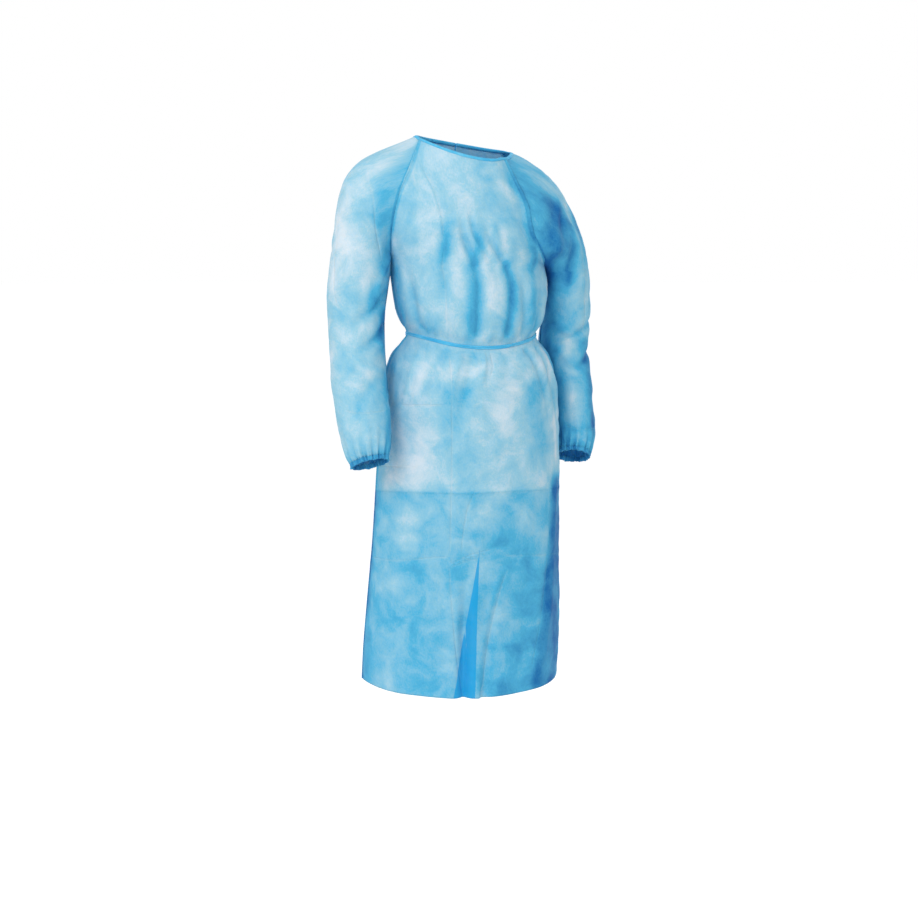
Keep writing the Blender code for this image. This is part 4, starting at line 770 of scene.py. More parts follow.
def sleevePiece(side):
    arm, folds, creases, paintedShadeAndLight, seam, leaves, ridge = sleeveTables[side]
    columns = sizes["sleeveColumns"]
    parts = yokeParts[::-1]
    frontSeam, frontLeave = pathOf(seam), leavesOf(leaves, "sleeve")
    shoulder = pathOf(ridge)(parts)
    forward = stacked(0.0, -shoulderHandle(parts), 0.0)
    front = arcs(frontSeam(parts), frontLeave(parts), forward, shoulder)
    back = arcs(shoulder, -forward, leavesOf(backLeaves, "sleeve")(parts), pathOf(backSeam)(parts))
    rows = []
    for number in range(len(parts)):
        halves = [spaced(half, np.linspace(0, alongRow(half)[-1], columns // 2 + 1))
                  for half in (front[number], back[number])]
        rows.append(np.concatenate([halves[0], halves[1][1:]]))
    endZ = arm["z"].min()
    armZ = np.linspace(sizes["armpitZ"], endZ, sizes["armRows"])
    rows += [sleeveRing(arm, z, columns) for z in armZ]
    points = np.array(rows)
    turn = np.broadcast_to(np.linspace(0, 1, columns + 1), points.shape[:2])
    z = points[..., 2]
    wide = 2 * np.pi * curve("across", "z", arm)(np.clip(z, endZ, sizes["armpitZ"]))
    closed = np.concatenate([np.zeros(len(parts)), ramp((sizes["armpitZ"] - armZ) / 0.03)])[:, None]
    edgeTurn = np.minimum(turn, 1 - turn)
    fade = closed + (1 - closed) * ramp(edgeTurn * 5)
    depth = foldDepth(folds, turn, z, wide) * fade * ramp(edgeTurn * 40)
    down = np.concatenate([np.full(len(parts), 1.0), armZ - endZ])[:, None] + 0 * turn
    depth = depth + gatherWave(turn, down, 300 + side) * ramp(edgeTurn * 60)
    points = points + ringOut(points, arm) * depth[..., None]
    s = np.array([np.interp(0.5, turn[0], alongRow(row)) - alongRow(row) for row in points])
    if side < 0:
        points = mirrored(points)
    base = withStance(points)
    v = base[..., 2]
    edge = np.minimum(s[:, :1] - s, s - s[:, -1:])
    base = easedRows(base, len(parts), sizes["sleeveEaseTimes"], edge)
    fine = creaseDepth(creases, s, v, 70 + side) + crumple(s * side, v, 80 + side) * 1.15
    fine = fine * ramp(edge / 0.016) * (1 - 0.7 * np.clip(1 - down / 0.04, 0, 1))
    fine[: len(parts) // 12] *= np.linspace(0, 1, len(parts) // 12)[:, None]
    # painted shade: the inner side towards the body, the whole wearer's left sleeve and the gathers near the
    # end; painted shade in troughs, painted highlight on ridges, and patches of both
    inner = ramp((np.abs(turn - 0.5) - 0.24) / 0.20)
    tone = paintedShadeAndToneSizes["sleeveFolds"] * foldShadeAndHighlight(depth + fine) + paintedShadeAndToneSizes["innerSleeve"] * inner
    tone = tone + (paintedShadeAndToneSizes["leftSleeve"] if side > 0 else 0.0)
    gatherShadeMask = np.clip(1 - down / paintedShadeAndToneSizes["sleeveEndReach"], 0, 1)
    tone = tone + creaseDepth(paintedShadeAndLight, s, v, 520 + side) + paintedShadeAndToneSizes["sleeveEnd"] * gatherShadeMask
    return base + normalsOf(base, side < 0) * fine[..., None], s, v, edge, tone


def addObject(name, vertices, faces):
    mesh = bpy.data.meshes.new(name)
    mesh.from_pydata(vertices.tolist(), [], faces)
    mesh.validate()
    mesh.shade_smooth()
    made = bpy.data.objects.new(name, mesh)
    bpy.context.scene.collection.objects.link(made)
    return made


def gridFaces(rows, columns, start=0, flip=False):
    a = (np.arange(rows - 1)[:, None] * columns + np.arange(columns - 1)[None, :]).ravel() + start
    quads = np.stack([a, a + 1, a + 1 + columns, a + columns], axis=1)
    return quads[:, ::-1] if flip else quads


def setAttribute(made, name, values):
    flat = np.asarray(values, np.float32)
    kind, key = ("FLOAT", "value") if flat.ndim == 1 else ("FLOAT_VECTOR", "vector")
    made.data.attributes.new(name, kind, "POINT").data.foreach_set(key, flat.ravel())


def shell(name, points, flip, thick, cloth, layers, tone=None, creases=(), patch=0.0):
    rows, columns = points.shape[:2]
    normal = normalsOf(points, not flip)
    inner = points - normal * thick
    count = rows * columns
    ids = np.arange(count).reshape(rows, columns)
    border = np.concatenate([ids[0, :], ids[1:, -1], ids[-1, -2::-1], ids[-2:0:-1, 0]])
    after = np.roll(border, -1)
    rim = np.stack([after, border, border + count, after + count], axis=1)
    faces = np.concatenate([gridFaces(rows, columns, 0, flip), gridFaces(rows, columns, count, not flip),
                            rim[:, ::-1] if flip else rim])
    made = addObject(name, np.concatenate([points.reshape(-1, 3), inner.reshape(-1, 3)]), faces.tolist())
    flat = np.concatenate([cloth.reshape(-1, 2)] * 2)
    setAttribute(made, "cloth", np.column_stack([flat, np.full(len(flat), patch)]))  # no two from one patch
    setAttribute(made, "layers", np.concatenate([layers.ravel()] * 2))
    # the painted shade and light ride along as a vertex attribute
    setAttribute(made, "tone", np.concatenate([(0 * layers if tone is None else tone).ravel()] * 2))
    if creases:
        fields = pressedFields(creases, cloth[..., 0], cloth[..., 1])
        for which, field in zip(("pressedLong", "pressedAcross"), fields):
            setAttribute(made, which, np.concatenate([field.reshape(-1, 3)] * 2))
    return made


def seamed(points, out, s, v, layers, tone, ends):
    # each end column is drawn back from the seam, or carried on under the neighbour as its allowance
    columns = []
    for which, (end, nearby) in zip(ends, ((0, 1), (-1, -2))):
        way = unit(points[:, end] - points[:, nearby])
        inward = -out[:, end]
        columns.append([])
        if which == "under":
            one = points[:, end] + way * sizes["allowanceBend"] + inward * sizes["allowanceDrop"] * 0.6
            two = points[:, end] + way * sizes["allowance"] + inward * sizes["allowanceDrop"]
            columns[-1] = [one, two]
        if which == "over":
            points = points.copy()
            points[:, end] = points[:, end] - way * sizes["seamGap"] / 2 + inward * sizes["seamDrop"]
    left, right = columns
    grid = [c[:, None] for c in left[::-1]] + [points] + [c[:, None] for c in right]
    before, after = len(left), len(right)
    pad = lambda a: np.pad(a, ((0, 0), (before, after)), mode="edge")
    return np.concatenate(grid, axis=1), pad(s), pad(v), pad(layers), pad(tone)


def makePanel(node, piece, flip, ends, creases, patch, flaps=()):
    points, s, v, edge, tone = piece
    layers = 1 - ramp((edge - sizes["seamLayers"]) / sizes["seamSoft"])
    grid, s, v, layers, tone = seamed(points, normalsOf(points, not flip), s, v, layers, tone, ends)
    cloth = stacked(s, v)
    tone = np.clip(tone, paintedShadeAndToneSizes["palest"], paintedShadeAndToneSizes["deepest"])
    made = shell(node + "_cloth", grid, flip, sizes["clothThick"], cloth, layers, tone, creases, patch)
    if flaps:
        inside = np.max([insideBy(corners, s, v) for corners in flaps], axis=0)
        field = stacked(inside, 1.0, 0.0).reshape(-1, 3)
        setAttribute(made, "doubledAndShaded", np.concatenate([field] * 2))
    return made


frontData = frontPiece()
backData = {side: backPiece(side) for side in (1, -1)}
sleeveData = {side: sleevePiece(side) for side in (1, -1)}
front = makePanel("front", frontData, False, ("under", "under"), frontCreases, 0.0, pleatFlaps)
backLeft = makePanel("back_left", backData[1], False, ("over", "free"), backCreases, 0.9)
backRight = makePanel("back_right", backData[-1], True, ("over", "free"), backCreases, 1.8)
sleeveLeft = makePanel("sleeve_left", sleeveData[1], True, ("over", "under"), leftSleeveCreases, 2.7)
sleeveRight = makePanel("sleeve_right", sleeveData[-1], False, ("over", "under"), rightSleeveCreases, 0.0)
print("stage 2 of 8: panels and sleeves", [len(o.data.polygons) for o in (front, backLeft, sleeveLeft)])


def linear(hexColour):  # an sRGB hex colour as the linear colour that a socket takes
    parts = [int(hexColour[i:i + 2], 16) / 255 for i in (1, 3, 5)]
    return [p / 12.92 if p <= 0.04045 else ((p + 0.055) / 1.055) ** 2.4 for p in parts] + [1.0]


def addNode(tree, kind, inputs=None, **settings):  # inputs: a socket to link, or a value
    node = tree.nodes.new(kind)
    for name, value in settings.items():
        setattr(node, name, value)
    for name, value in (inputs or {}).items():
        if isinstance(value, bpy.types.NodeSocket):
            tree.links.new(value, node.inputs[name])
        else:
            node.inputs[name].default_value = value
    return node


nonwoven = {
    "white": "#fcffff", "pale": "#eaf8fc", "middle": "#a9deee", "deep": "#57c1e6", "darkest": "#026fb4",
    # the pleat's blue: its folded layers, with painted shade in the pleat's recess
    "glow": "#22b4ea", "doubledAndShaded": "#12aeea",
    "whiteAt": 0.17, "paleAt": 0.34, "middleAt": 0.50, "deepAt": 0.69, "darkestAt": 0.98,
    "depthLeast": 0.12, "cloudShare": 0.54, "clumpShare": 0.11, "fibreShare": 0.11, "layerShare": 0.12,
    # the tone share brings in the painted shade and light; the pressed lines' share is painted highlight on
    # pressed ridges and painted shade along pressed troughs
    "toneShare": 0.29, "lineShare": -0.035, "flapShare": 0.88, "flapEdge": 0.0006,
    "thinAt": 0.35, "thickAt": 0.70,
    "cloudSize": 0.060, "clumpSize": 0.0040, "fibreLong": 0.0080, "fibreWide": 0.0009,
    "roughness": 0.66, "sheen": 0.06, "sheenRoughness": 0.5, "through": 0.22, "open": 0.07,
    "bumpHeight": 0.00040, "lineHeight": 0.0010, "lineWidth": 0.0030,
}


def pressedLine(tree, name, width):  # how much of a pressed line there is here, from -1 to 1
    field = addNode(tree, "ShaderNodeAttribute", attribute_name=name).outputs["Vector"]
    field = addNode(tree, "ShaderNodeSeparateXYZ", {0: field}).outputs
    apart = addNode(tree, "ShaderNodeMath", {0: field[0]}, operation="ABSOLUTE").outputs[0]
    line = addNode(tree, "ShaderNodeMapRange", {"Value": apart, 1: 0.0, 2: width, 3: 1.0, 4: 0.0}).outputs[0]
    return addNode(tree, "ShaderNodeMath", {0: line, 1: field[1]}, operation="MULTIPLY").outputs[0]


def nonwovenMaterial(name, lines=True, s=nonwoven):  # spunbond polypropylene, calendered, dyed light blue
    material = bpy.data.materials.new(name)
    material.use_nodes = True
    tree = material.node_tree
    tree.nodes.clear()
    cloth = addNode(tree, "ShaderNodeAttribute", attribute_name="cloth").outputs["Vector"]
    layers = addNode(tree, "ShaderNodeAttribute", attribute_name="layers").outputs["Fac"]
    cloud = addNode(tree, "ShaderNodeTexNoise", {"Vector": cloth, "Scale": 1 / s["cloudSize"], "Detail": 4.0,
                                                 "Roughness": 0.62, "Distortion": 0.4}).outputs["Fac"]
    clump = addNode(tree, "ShaderNodeTexNoise", {"Vector": cloth, "Scale": 1 / s["clumpSize"],
                                                 "Detail": 2.0}).outputs["Fac"]
    stretched = addNode(tree, "ShaderNodeMapping", {
        "Vector": cloth, "Scale": (1 / s["fibreWide"], 1 / s["fibreLong"], 1.0),
        "Rotation": (0, 0, 0.18)}).outputs[0]
    fibre = addNode(tree, "ShaderNodeTexNoise", {"Vector": stretched, "Scale": 1.0,
                                                 "Detail": 1.0}).outputs["Fac"]
    # the panels' painted shade and light, which deepen or pale the blue
    tone = addNode(tree, "ShaderNodeAttribute", attribute_name="tone").outputs["Fac"]
    depth = addNode(tree, "ShaderNodeMath", {0: cloud, 1: s["cloudShare"], 2: s["depthLeast"]},
                    operation="MULTIPLY_ADD").outputs[0]
    parts = {"clumpShare": clump, "fibreShare": fibre, "layerShare": layers, "toneShare": tone}
    for share, part in parts.items():
        depth = addNode(tree, "ShaderNodeMath", {0: part, 1: s[share], 2: depth},
                        operation="MULTIPLY_ADD").outputs[0]
    height = addNode(tree, "ShaderNodeMath", {0: clump, 1: fibre}, operation="ADD").outputs[0]
    height = addNode(tree, "ShaderNodeMath", {0: height, 1: s["bumpHeight"] / 2},
                     operation="MULTIPLY").outputs[0]
    if lines:
        for which in ("pressedLong", "pressedAcross"):
            line = pressedLine(tree, which, s["lineWidth"])
            height = addNode(tree, "ShaderNodeMath", {0: line, 1: s["lineHeight"], 2: height},
                             operation="MULTIPLY_ADD").outputs[0]
            # pressed ridges painted paler and pressed troughs painted deeper: painted highlight and shade
            # along the lines
            depth = addNode(tree, "ShaderNodeMath", {0: line, 1: s["lineShare"], 2: depth},
                            operation="MULTIPLY_ADD").outputs[0]
    colours = addNode(tree, "ShaderNodeValToRGB", {"Fac": depth})
    for number in (1, 2, 3):
        colours.color_ramp.elements.new(number / 4)
    for element, which in zip(colours.color_ramp.elements, ("white", "pale", "middle", "deep", "darkest")):
        element.position = s[which + "At"]
        element.color = linear(s[which])
    colour = colours.outputs["Color"]
    if lines:  # the pleat's folded layers are a clearer blue, partly painted shade in the recess, with a crisp edge
        flap = addNode(tree, "ShaderNodeAttribute", attribute_name="doubledAndShaded").outputs["Vector"]
        flap = addNode(tree, "ShaderNodeSeparateXYZ", {0: flap}).outputs
        crisp = addNode(tree, "ShaderNodeMapRange", {"Value": flap[0], 1: -s["flapEdge"], 2: s["flapEdge"],
                                                     3: 0.0, 4: s["flapShare"]}).outputs[0]
        crisp = addNode(tree, "ShaderNodeMath", {0: crisp, 1: flap[1]}, operation="MULTIPLY").outputs[0]
        colour = addNode(tree, "ShaderNodeMix", {0: crisp, 6: colour, 7: linear(s["doubledAndShaded"])},
                         data_type="RGBA").outputs[2]
    bump = addNode(tree, "ShaderNodeBump", {"Height": height, "Distance": 1.0, "Strength": 0.8}).outputs[0]
    shader = addNode(tree, "ShaderNodeBsdfPrincipled", {
        "Base Color": colour, "Normal": bump, "Roughness": s["roughness"], "Sheen Weight": s["sheen"],
        "Sheen Roughness": s["sheenRoughness"], "Specular IOR Level": 0.18}).outputs[0]
    glow = addNode(tree, "ShaderNodeBsdfTranslucent", {"Color": linear(s["glow"]), "Normal": bump}).outputs[0]
    mixed = addNode(tree, "ShaderNodeMixShader", {0: s["through"], 1: shader, 2: glow}).outputs[0]
    clear = addNode(tree, "ShaderNodeBsdfTransparent").outputs[0]
    thin = addNode(tree, "ShaderNodeMapRange", {"Value": depth, 1: s["thinAt"], 2: s["thickAt"], 3: s["open"],
                                                4: 0.0}).outputs[0]
    final = addNode(tree, "ShaderNodeMixShader", {0: thin, 1: mixed, 2: clear}).outputs[0]
    addNode(tree, "ShaderNodeOutputMaterial", {"Surface": final})
    return material


# the same nonwoven cut as a strip, folded double and dyed deeper
deeperNonwoven = dict(nonwoven, white="#a2dcf4", pale="#8ad4f2", middle="#52bfea", deep="#2aa5e0",
                      through=0.10, open=0.0)


def finishPiece(made, material, node):
    made.data.materials.append(material)
    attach(made, "root")
    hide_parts(node)


clothLook = nonwovenMaterial("spunbond nonwoven, light blue")
foldedLook = nonwovenMaterial("folded nonwoven strip, mid blue", False, deeperNonwoven)
for made in (front, backLeft, backRight, sleeveLeft, sleeveRight):
    finishPiece(made, clothLook, made.name.replace("_cloth", ""))
print("stage 3 of 8: cloth materials")


def swept(name, stations, closed, cloth):  # a skin through loops of points, with its place on the cloth
    count, corners = stations.shape[:2]
    spans = count if closed else count - 1
    i = np.arange(spans)[:, None] * corners
    j = ((np.arange(spans)[:, None] + 1) % count) * corners
    k = np.arange(corners)[None, :]
    k2 = (k + 1) % corners
    faces = np.stack([i + k, i + k2, j + k2, j + k], axis=-1).reshape(-1, 4).tolist()
    if not closed:
        faces += [list(range(corners))[::-1], list(range((count - 1) * corners, count * corners))]
    made = addObject(name, stations.reshape(-1, 3), faces)
    setAttribute(made, "cloth", cloth.reshape(-1, 3))
    setAttribute(made, "layers", np.zeros(count * corners))
    return made


def evenly(line, step, closed=False):
    whole = np.concatenate([line, line[:1]]) if closed else line
    length = alongRow(whole)[-1]
    count = max(4, int(round(length / step)))
    at = np.linspace(0, length, count + 1)
    return spaced(whole, at[:-1] if closed else at)


def softened(line, times, closed=False):
    for _ in range(times):
        if closed:
            line = (np.roll(line, 1, axis=0) + 2 * line + np.roll(line, -1, axis=0)) / 4
        else:
            line = np.concatenate([line[:1], (line[:-2] + 2 * line[1:-1] + line[2:]) / 4, line[-1:]])
    return line


binding = {
    "depth": 0.0062, "wall": 0.0005, "outer": 0.0012, "rise": 0.0012, "step": 0.0022, "room": 0.0008,
    "pucker": 0.00025, "puckerSize": 0.006, "swell": 0.0002, "swellSize": 0.03, "wander": 0.0005,
    "wanderSize": 0.018, "girth": 0.03,
}


def neckline():  # the edge and a line 8 mm down, from the right back's free edge round to the left one's
    down = 3
    rightBack, leftBack = backData[-1][0], backData[1][0]
    rightSleeve, leftSleeve = sleeveData[-1][0], sleeveData[1][0]
    order = [(rightBack[-1][::-1], rightBack[-1 - down][::-1]),
             (rightSleeve[0][-2:0:-1], rightSleeve[down][-2:0:-1]),
             (frontData[0][-1], frontData[0][-1 - down]),
             (leftSleeve[0][1:-1], leftSleeve[down][1:-1]),
             (leftBack[-1], leftBack[-1 - down])]
    edge = np.concatenate([piece[0] for piece in order])
    below = np.concatenate([piece[1] for piece in order])
    up = unit(edge - below)
    along = alongRow(edge)
    keep = np.concatenate([[True], np.diff(along) > 1e-6])
    at = np.linspace(0, along[-1], int(along[-1] / binding["step"]) + 1)
    take = lambda data: np.stack([np.interp(at, along[keep], data[keep][:, a]) for a in range(3)], axis=1)
    return softened(take(edge), 6), unit(softened(take(up), 20)), at


def makeBinding():
    s = binding
    edge, up, at = neckline()
    out = unit(np.cross(np.gradient(edge, axis=0), up))
    thick = s["outer"] + s["pucker"] * valueNoise(at, 0 * at, s["puckerSize"], 401)
    thick = thick + s["swell"] * valueNoise(at, 0 * at, s["swellSize"], 402)
    deep = s["depth"] + s["wander"] * valueNoise(at, 0 * at, s["wanderSize"], 403)
    inner = -sizes["clothThick"] - s["room"]
    wall = s["wall"]
    loops = []
    for n in range(len(at)):
        d, t, rise = deep[n], thick[n], s["rise"]
        outside = [(-d, t * 0.75), (-0.7 * d, t), (-0.25 * d, t * 1.08), (0.3 * rise, t), (rise, t * 0.35),
                   (rise, inner * 0.4), (0.3 * rise, inner - wall * 0.6), (-0.5 * d, inner - wall),
                   (-d, inner - wall)]
        inside = [(-d, inner), (-0.4 * d, inner), (0.1 * rise, inner * 0.9), (0.4 * rise, inner * 0.3),
                  (0.1 * rise, t - wall * 1.2), (-0.4 * d, t - wall), (-d, t * 0.75 - wall * 0.8)]
        loops.append([edge[n] + up[n] * higher + out[n] * lift for higher, lift in outside + inside])
    loops = np.array(loops)
    around = np.linspace(0, s["girth"], loops.shape[1])
    cloth = stacked(at[:, None], around[None, :], 3.0)
    return swept("neck_binding_folded", loops, False, cloth), edge, up, out


neckBinding, neckEdge, neckUp, neckOut = makeBinding()
finishPiece(neckBinding, foldedLook, "neck_binding")
print("stage 4 of 8: neck binding")

def makeCuff(name, side, node):
    arm = sleeveTables[side][0]
    columns = sizes["sleeveColumns"] * 2
    endZ = arm["z"].min()
    turn = np.linspace(0, 1, columns + 1)
    ring = sleeveRing(arm, endZ, columns)
    centre, _, _, along = armFrame(arm, endZ)
    out = unit(ring - centre)
    rows = []
    for t in np.linspace(0, 1, cuff["rows"]):
        wave = gatherWave(turn, 0 * turn, 300 + side)
        ruffle = cuff["ruffle"] * valueNoise(turn * 70, 0 * turn + t * 0.6, 1.0, 350 + side)
        ruffle = ruffle * ramp((t - 0.25) / 0.75)
        lift = wave * (1 - 0.25 * t) + ruffle
        lift = lift - cuff["squeeze"] * np.sin(np.pi * t) - cuff["under"] * (1 - ramp(t * 4))
        lift[-1] = lift[0] = (lift[0] + lift[-1]) / 2
        uneven = 1 + cuff["uneven"] * valueNoise(turn * 20, 0 * turn, 1.0, 360 + side)
        reach = cuff["gap"] + cuff["length"] * t * uneven
        reach[-1] = reach[0]
        rows.append(ring + out * lift[:, None] - along * reach[:, None])
    points = np.array(rows)
    points = withStance(points if side > 0 else mirrored(points))
    around = turn * alongRow(ring)[-1] * cuff["clothRound"]
    cloth = stacked(around[None, :], np.linspace(0, cuff["clothAcross"], cuff["rows"])[:, None])
    layers = np.full(points.shape[:2], cuff["layers"])
    # painted shade in the gathers, over the doubled layers
    made = shell(name, points, side > 0, cuff["wall"], cloth, layers, cuff["tone"] * layers)
    finishPiece(made, clothLook, node)
    return made


cuffLeft = makeCuff("cuff_left_gathered", 1, "cuff_left")
cuffRight = makeCuff("cuff_right_gathered", -1, "cuff_right")
print("stage 5 of 8: cuffs")

waistTie = {
    "apart": 0.0017, "high": 0.0018, "thick": 0.0010, "lift": 0.0017, "step": 0.0022, "corners": 10,
    "twists": (0.330, 0.62, 0.86), "twistReach": 0.016, "sway": 0.0007, "swaySize": 0.05, "lean": 0.25,
    "leanSize": 0.03, "swell": 0.18, "swellSize": 0.02, "overLift": 0.0012, "clothRound": 0.002,
}


def rowAt(z):
    return int(round((z - sizes["hemZ"]) / (sizes["armpitZ"] - sizes["hemZ"]) * (sizes["bodyRows"] - 1)))


def beltLine():
    row = rowAt((sizes["beltTop"] + sizes["beltBottom"]) / 2)
    right, left, ahead = backData[-1][0][row], backData[1][0][row], frontData[0][row]
    under = int(np.argmin(np.linalg.norm(left - right[-1], axis=1)))
    line = np.concatenate([ahead[:-1], left[:under], right[:0:-1]])
    return softened(evenly(line, waistTie["step"], True), 12, True)


def makeWaistTie():
    s = waistTie
    line = beltLine()
    count = len(line)
    share = np.arange(count) / count
    along = unit(np.roll(line, -1, axis=0) - np.roll(line, 1, axis=0))
    out = unit(np.cross(along, np.array([0, 0, 1.0])))
    up = np.cross(out, along)
    length = alongRow(line)[-1]
    angle = np.zeros(count)
    for twist in s["twists"]:
        angle += np.pi * ramp((share - twist) * length / s["twistReach"] + 0.5)
    at = share * length
    sway = s["sway"] * valueNoise(at, 0 * at, s["swaySize"], 420)
    sides = np.linspace(0, 2 * np.pi, s["corners"], endpoint=False)
    parts = []
    for strand in (0, np.pi):
        rise = np.cos(angle + strand) * s["apart"] + sway
        lift = s["lift"] + np.sin(angle + strand) * s["apart"] * 0.55 + np.abs(np.sin(angle)) * s["overLift"]
        lean = s["lean"] * valueNoise(at, 0 * at + strand, s["leanSize"], 430)
        high = s["high"] * (1 + s["swell"] * valueNoise(at, 0 * at + strand, s["swellSize"], 440))
        middle = line + up * rise[:, None] + out * lift[:, None]
        a = sides[None, :] + lean[:, None]
        parts.append(middle[:, None] + up[:, None] * (np.cos(a) * high[:, None])[..., None]
                     + out[:, None] * (np.sin(a) * s["thick"])[..., None])
    made = []
    for number, loops in enumerate(parts):
        place = stacked(at[:, None], sides[None, :] * s["clothRound"], 5.0 + number)
        made.append(swept(f"strand_{number}", loops, True, place))
    whole = joined("waist_tie_twisted", made)
    finishPiece(whole, foldedLook, "waist_tie")
    return whole


def joined(name, objects):
    with bpy.context.temp_override(active_object=objects[0], selected_editable_objects=objects):
        bpy.ops.object.join()
    objects[0].name = name
    objects[0].data.name = name
    return objects[0]


def tubeAlong(name, line, high, thick, corners, place):
    along = unit(np.gradient(line, axis=0))
    up = np.array([0.0, 0.0, 1.0])
    frames = []
    side = unit(np.cross(along[0], up))
    for direction in along:
        side = unit(side - direction * (side @ direction))
        frames.append(side)
    side = np.array(frames)
    across = np.cross(along, side)
    angle = np.linspace(0, 2 * np.pi, corners, endpoint=False)
    toEnd = np.minimum(np.linspace(0, 1, len(line)), np.linspace(1, 0, len(line)))
    taper = np.sqrt(np.clip(toEnd * 14, 0.2, 1))
    loops = (line[:, None] + side[:, None] * (np.cos(angle)[None, :] * high * taper[:, None])[..., None]
             + across[:, None] * (np.sin(angle)[None, :] * thick * taper[:, None])[..., None])
    at = alongRow(line)
    cloth = stacked(at[:, None], angle[None, :] * high, place)
    return swept(name, loops, False, cloth)


def makeKnot(node, tape):  # an overhand knot drawn tight in its solid's box
    low, high = (np.array(corner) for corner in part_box(node))
    middle, half = (low + high) / 2, (high - low) / 2
    t = np.linspace(-0.06, 2 * np.pi + 0.06, 150)
    line = stacked(np.sin(t) + 2 * np.sin(2 * t), -np.sin(3 * t), np.cos(t) - 2 * np.cos(2 * t))
    line = line / np.array([2.75, 1.0, 3.0])  # the trefoil's half sizes
    made = tubeAlong(node + "_tied", middle + line * (half - tape * 0.5), tape, tape * 0.55, 12, 7.0)
    finishPiece(made, foldedLook, node)
    return made


def onBack(columnShare, row):  # a point on the back panel that laps over, and the way out there
    grid = backData[-1][0]
    c = columnShare * sizes["backColumns"]
    c0, r0 = min(int(c), grid.shape[1] - 2), min(int(row), grid.shape[0] - 2)
    dc, dr = c - c0, row - r0
    quad = grid[r0:r0 + 2, c0:c0 + 2]
    upper, lower = (pair[0] * (1 - dc) + pair[1] * dc for pair in quad)
    point = upper * (1 - dr) + lower * dr
    return point, bodyOut(point)


tieEnds = {
    "lift": 0.0062, "stations": 70, "across": 9, "thick": 0.0005, "tucked": 0.0012, "sway": 0.0008,
    "swaySize": 0.05,
    "fold": 0.0009, "edgeFold": 0.0007, "curl": 0.0010, "curlSize": 0.035,
}


def makeTieEnd(tie, side, columns, rows, width):
    s, node, sign = tieEnds, f"{tie}_end_{side}", 1 if side == "left" else -1
    low, high = (np.array(corner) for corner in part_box(tie.replace("tie", "knot")))
    t = np.linspace(0, 1, s["stations"])
    between = lambda ends, k: ends[0] + (ends[1] - ends[0]) * k
    places = [onBack(between(columns, k), between(rows, k)) for k in t]
    line = softened(np.array([p for p, _ in places]), 40)
    ways = unit(softened(np.array([w for _, w in places]), 20))
    lift = s["lift"] * (0.6 + 0.4 * ramp(t * 3))
    lift = lift + s["sway"] * valueNoise(t * 0.3, 0 * t, s["swaySize"], 460 + sign) * ramp(t * 6)
    line = line + ways * lift[:, None]
    wide, thick, _ = high - low
    top = (low + high) / 2 + ways[0] * thick * 0.12 + np.array([sign * wide * 0.18, 0, 0])
    top[2] = low[2] + s["tucked"]
    blend = ramp(t / 0.08)[:, None]
    line = top * (1 - blend) + line * blend + np.array([0, 0, 1.0]) * (1 - blend) * -t[:, None] * 0.02
    aside = unit(np.cross(np.gradient(line, axis=0), ways))
    pinch = wide * 0.24
    half = (pinch + (width - pinch) * ramp(t * 3.2)) / 2
    u = np.linspace(-1, 1, s["across"])
    fold = s["fold"] * (1 - np.abs(u)) - s["edgeFold"] * np.abs(u) ** 3
    curl = s["curl"] * valueNoise(t * 0.3, 0 * t, s["curlSize"], 470 + sign)[:, None] * u[None, :]
    opened = ramp(t * 4)[:, None]
    points = (line[:, None] + aside[:, None] * (half[:, None] * u[None, :])[..., None]
              + ways[:, None] * (fold[None, :] * opened + curl * opened)[..., None])
    cloth = stacked(u[None, :] * width / 2 + sign, alongRow(line)[:, None])
    made = shell(node + "_tape", points[:, ::-1], False, s["thick"], cloth, np.full(points.shape[:2], 0.5))
    finishPiece(made, foldedLook, node)
    return made, float(alongRow(line)[-1])


def yokeRow(part):
    return sizes["bodyRows"] - 1 + part * sizes["yokeRows"]


twisted = makeWaistTie()
waistKnot = makeKnot("waist_knot", 0.0034)
neckKnot = makeKnot("neck_knot", 0.0023)
tieEndPieces = [
    makeTieEnd("waist_tie", "left", (0.825, 0.895), (rowAt(-0.4207), rowAt(-0.687)), 0.014),
    makeTieEnd("waist_tie", "right", (0.775, 0.705), (rowAt(-0.4207), rowAt(-0.741)), 0.014),
    makeTieEnd("neck_tie", "left", (0.965, 0.925), (yokeRow(0.865), yokeRow(0.298)), 0.009),
    makeTieEnd("neck_tie", "right", (0.880, 0.790), (yokeRow(0.865), yokeRow(0.382)), 0.009),
]
print("stage 6 of 8: ties and knots")

stitching = {
    "pitch": 0.0042, "length": 0.0030, "radius": 0.00020, "slant": 0.60, "uneven": 0.14, "seed": 12,
    "lift": 0.00025, "thread": "#58bde8", "twist": 0.0006,
}
bindingStitching = dict(stitching, pitch=0.0044, length=0.0028, slant=0.0, uneven=0.06, seed=31,
                        radius=0.00024)


def threadMaterial(name):  # spun polyester sewing thread: its ply shows as fine slanting ridges
    material = bpy.data.materials.new(name)
    material.use_nodes = True
    tree = material.node_tree
    shader = tree.nodes["Principled BSDF"]
    place = addNode(tree, "ShaderNodeTexCoord").outputs["Object"]
    ply = addNode(tree, "ShaderNodeTexWave", {"Vector": place, "Scale": 1 / stitching["twist"],
                                              "Distortion": 1.0}, bands_direction="DIAGONAL").outputs["Fac"]
    bump = addNode(tree, "ShaderNodeBump", {"Height": ply, "Distance": 0.0001, "Strength": 0.6}).outputs[0]
    shader.inputs["Base Color"].default_value = linear(stitching["thread"])
    shader.inputs["Roughness"].default_value = 0.55
    shader.inputs["Sheen Weight"].default_value = 0.2
    tree.links.new(bump, shader.inputs["Normal"])
    return material


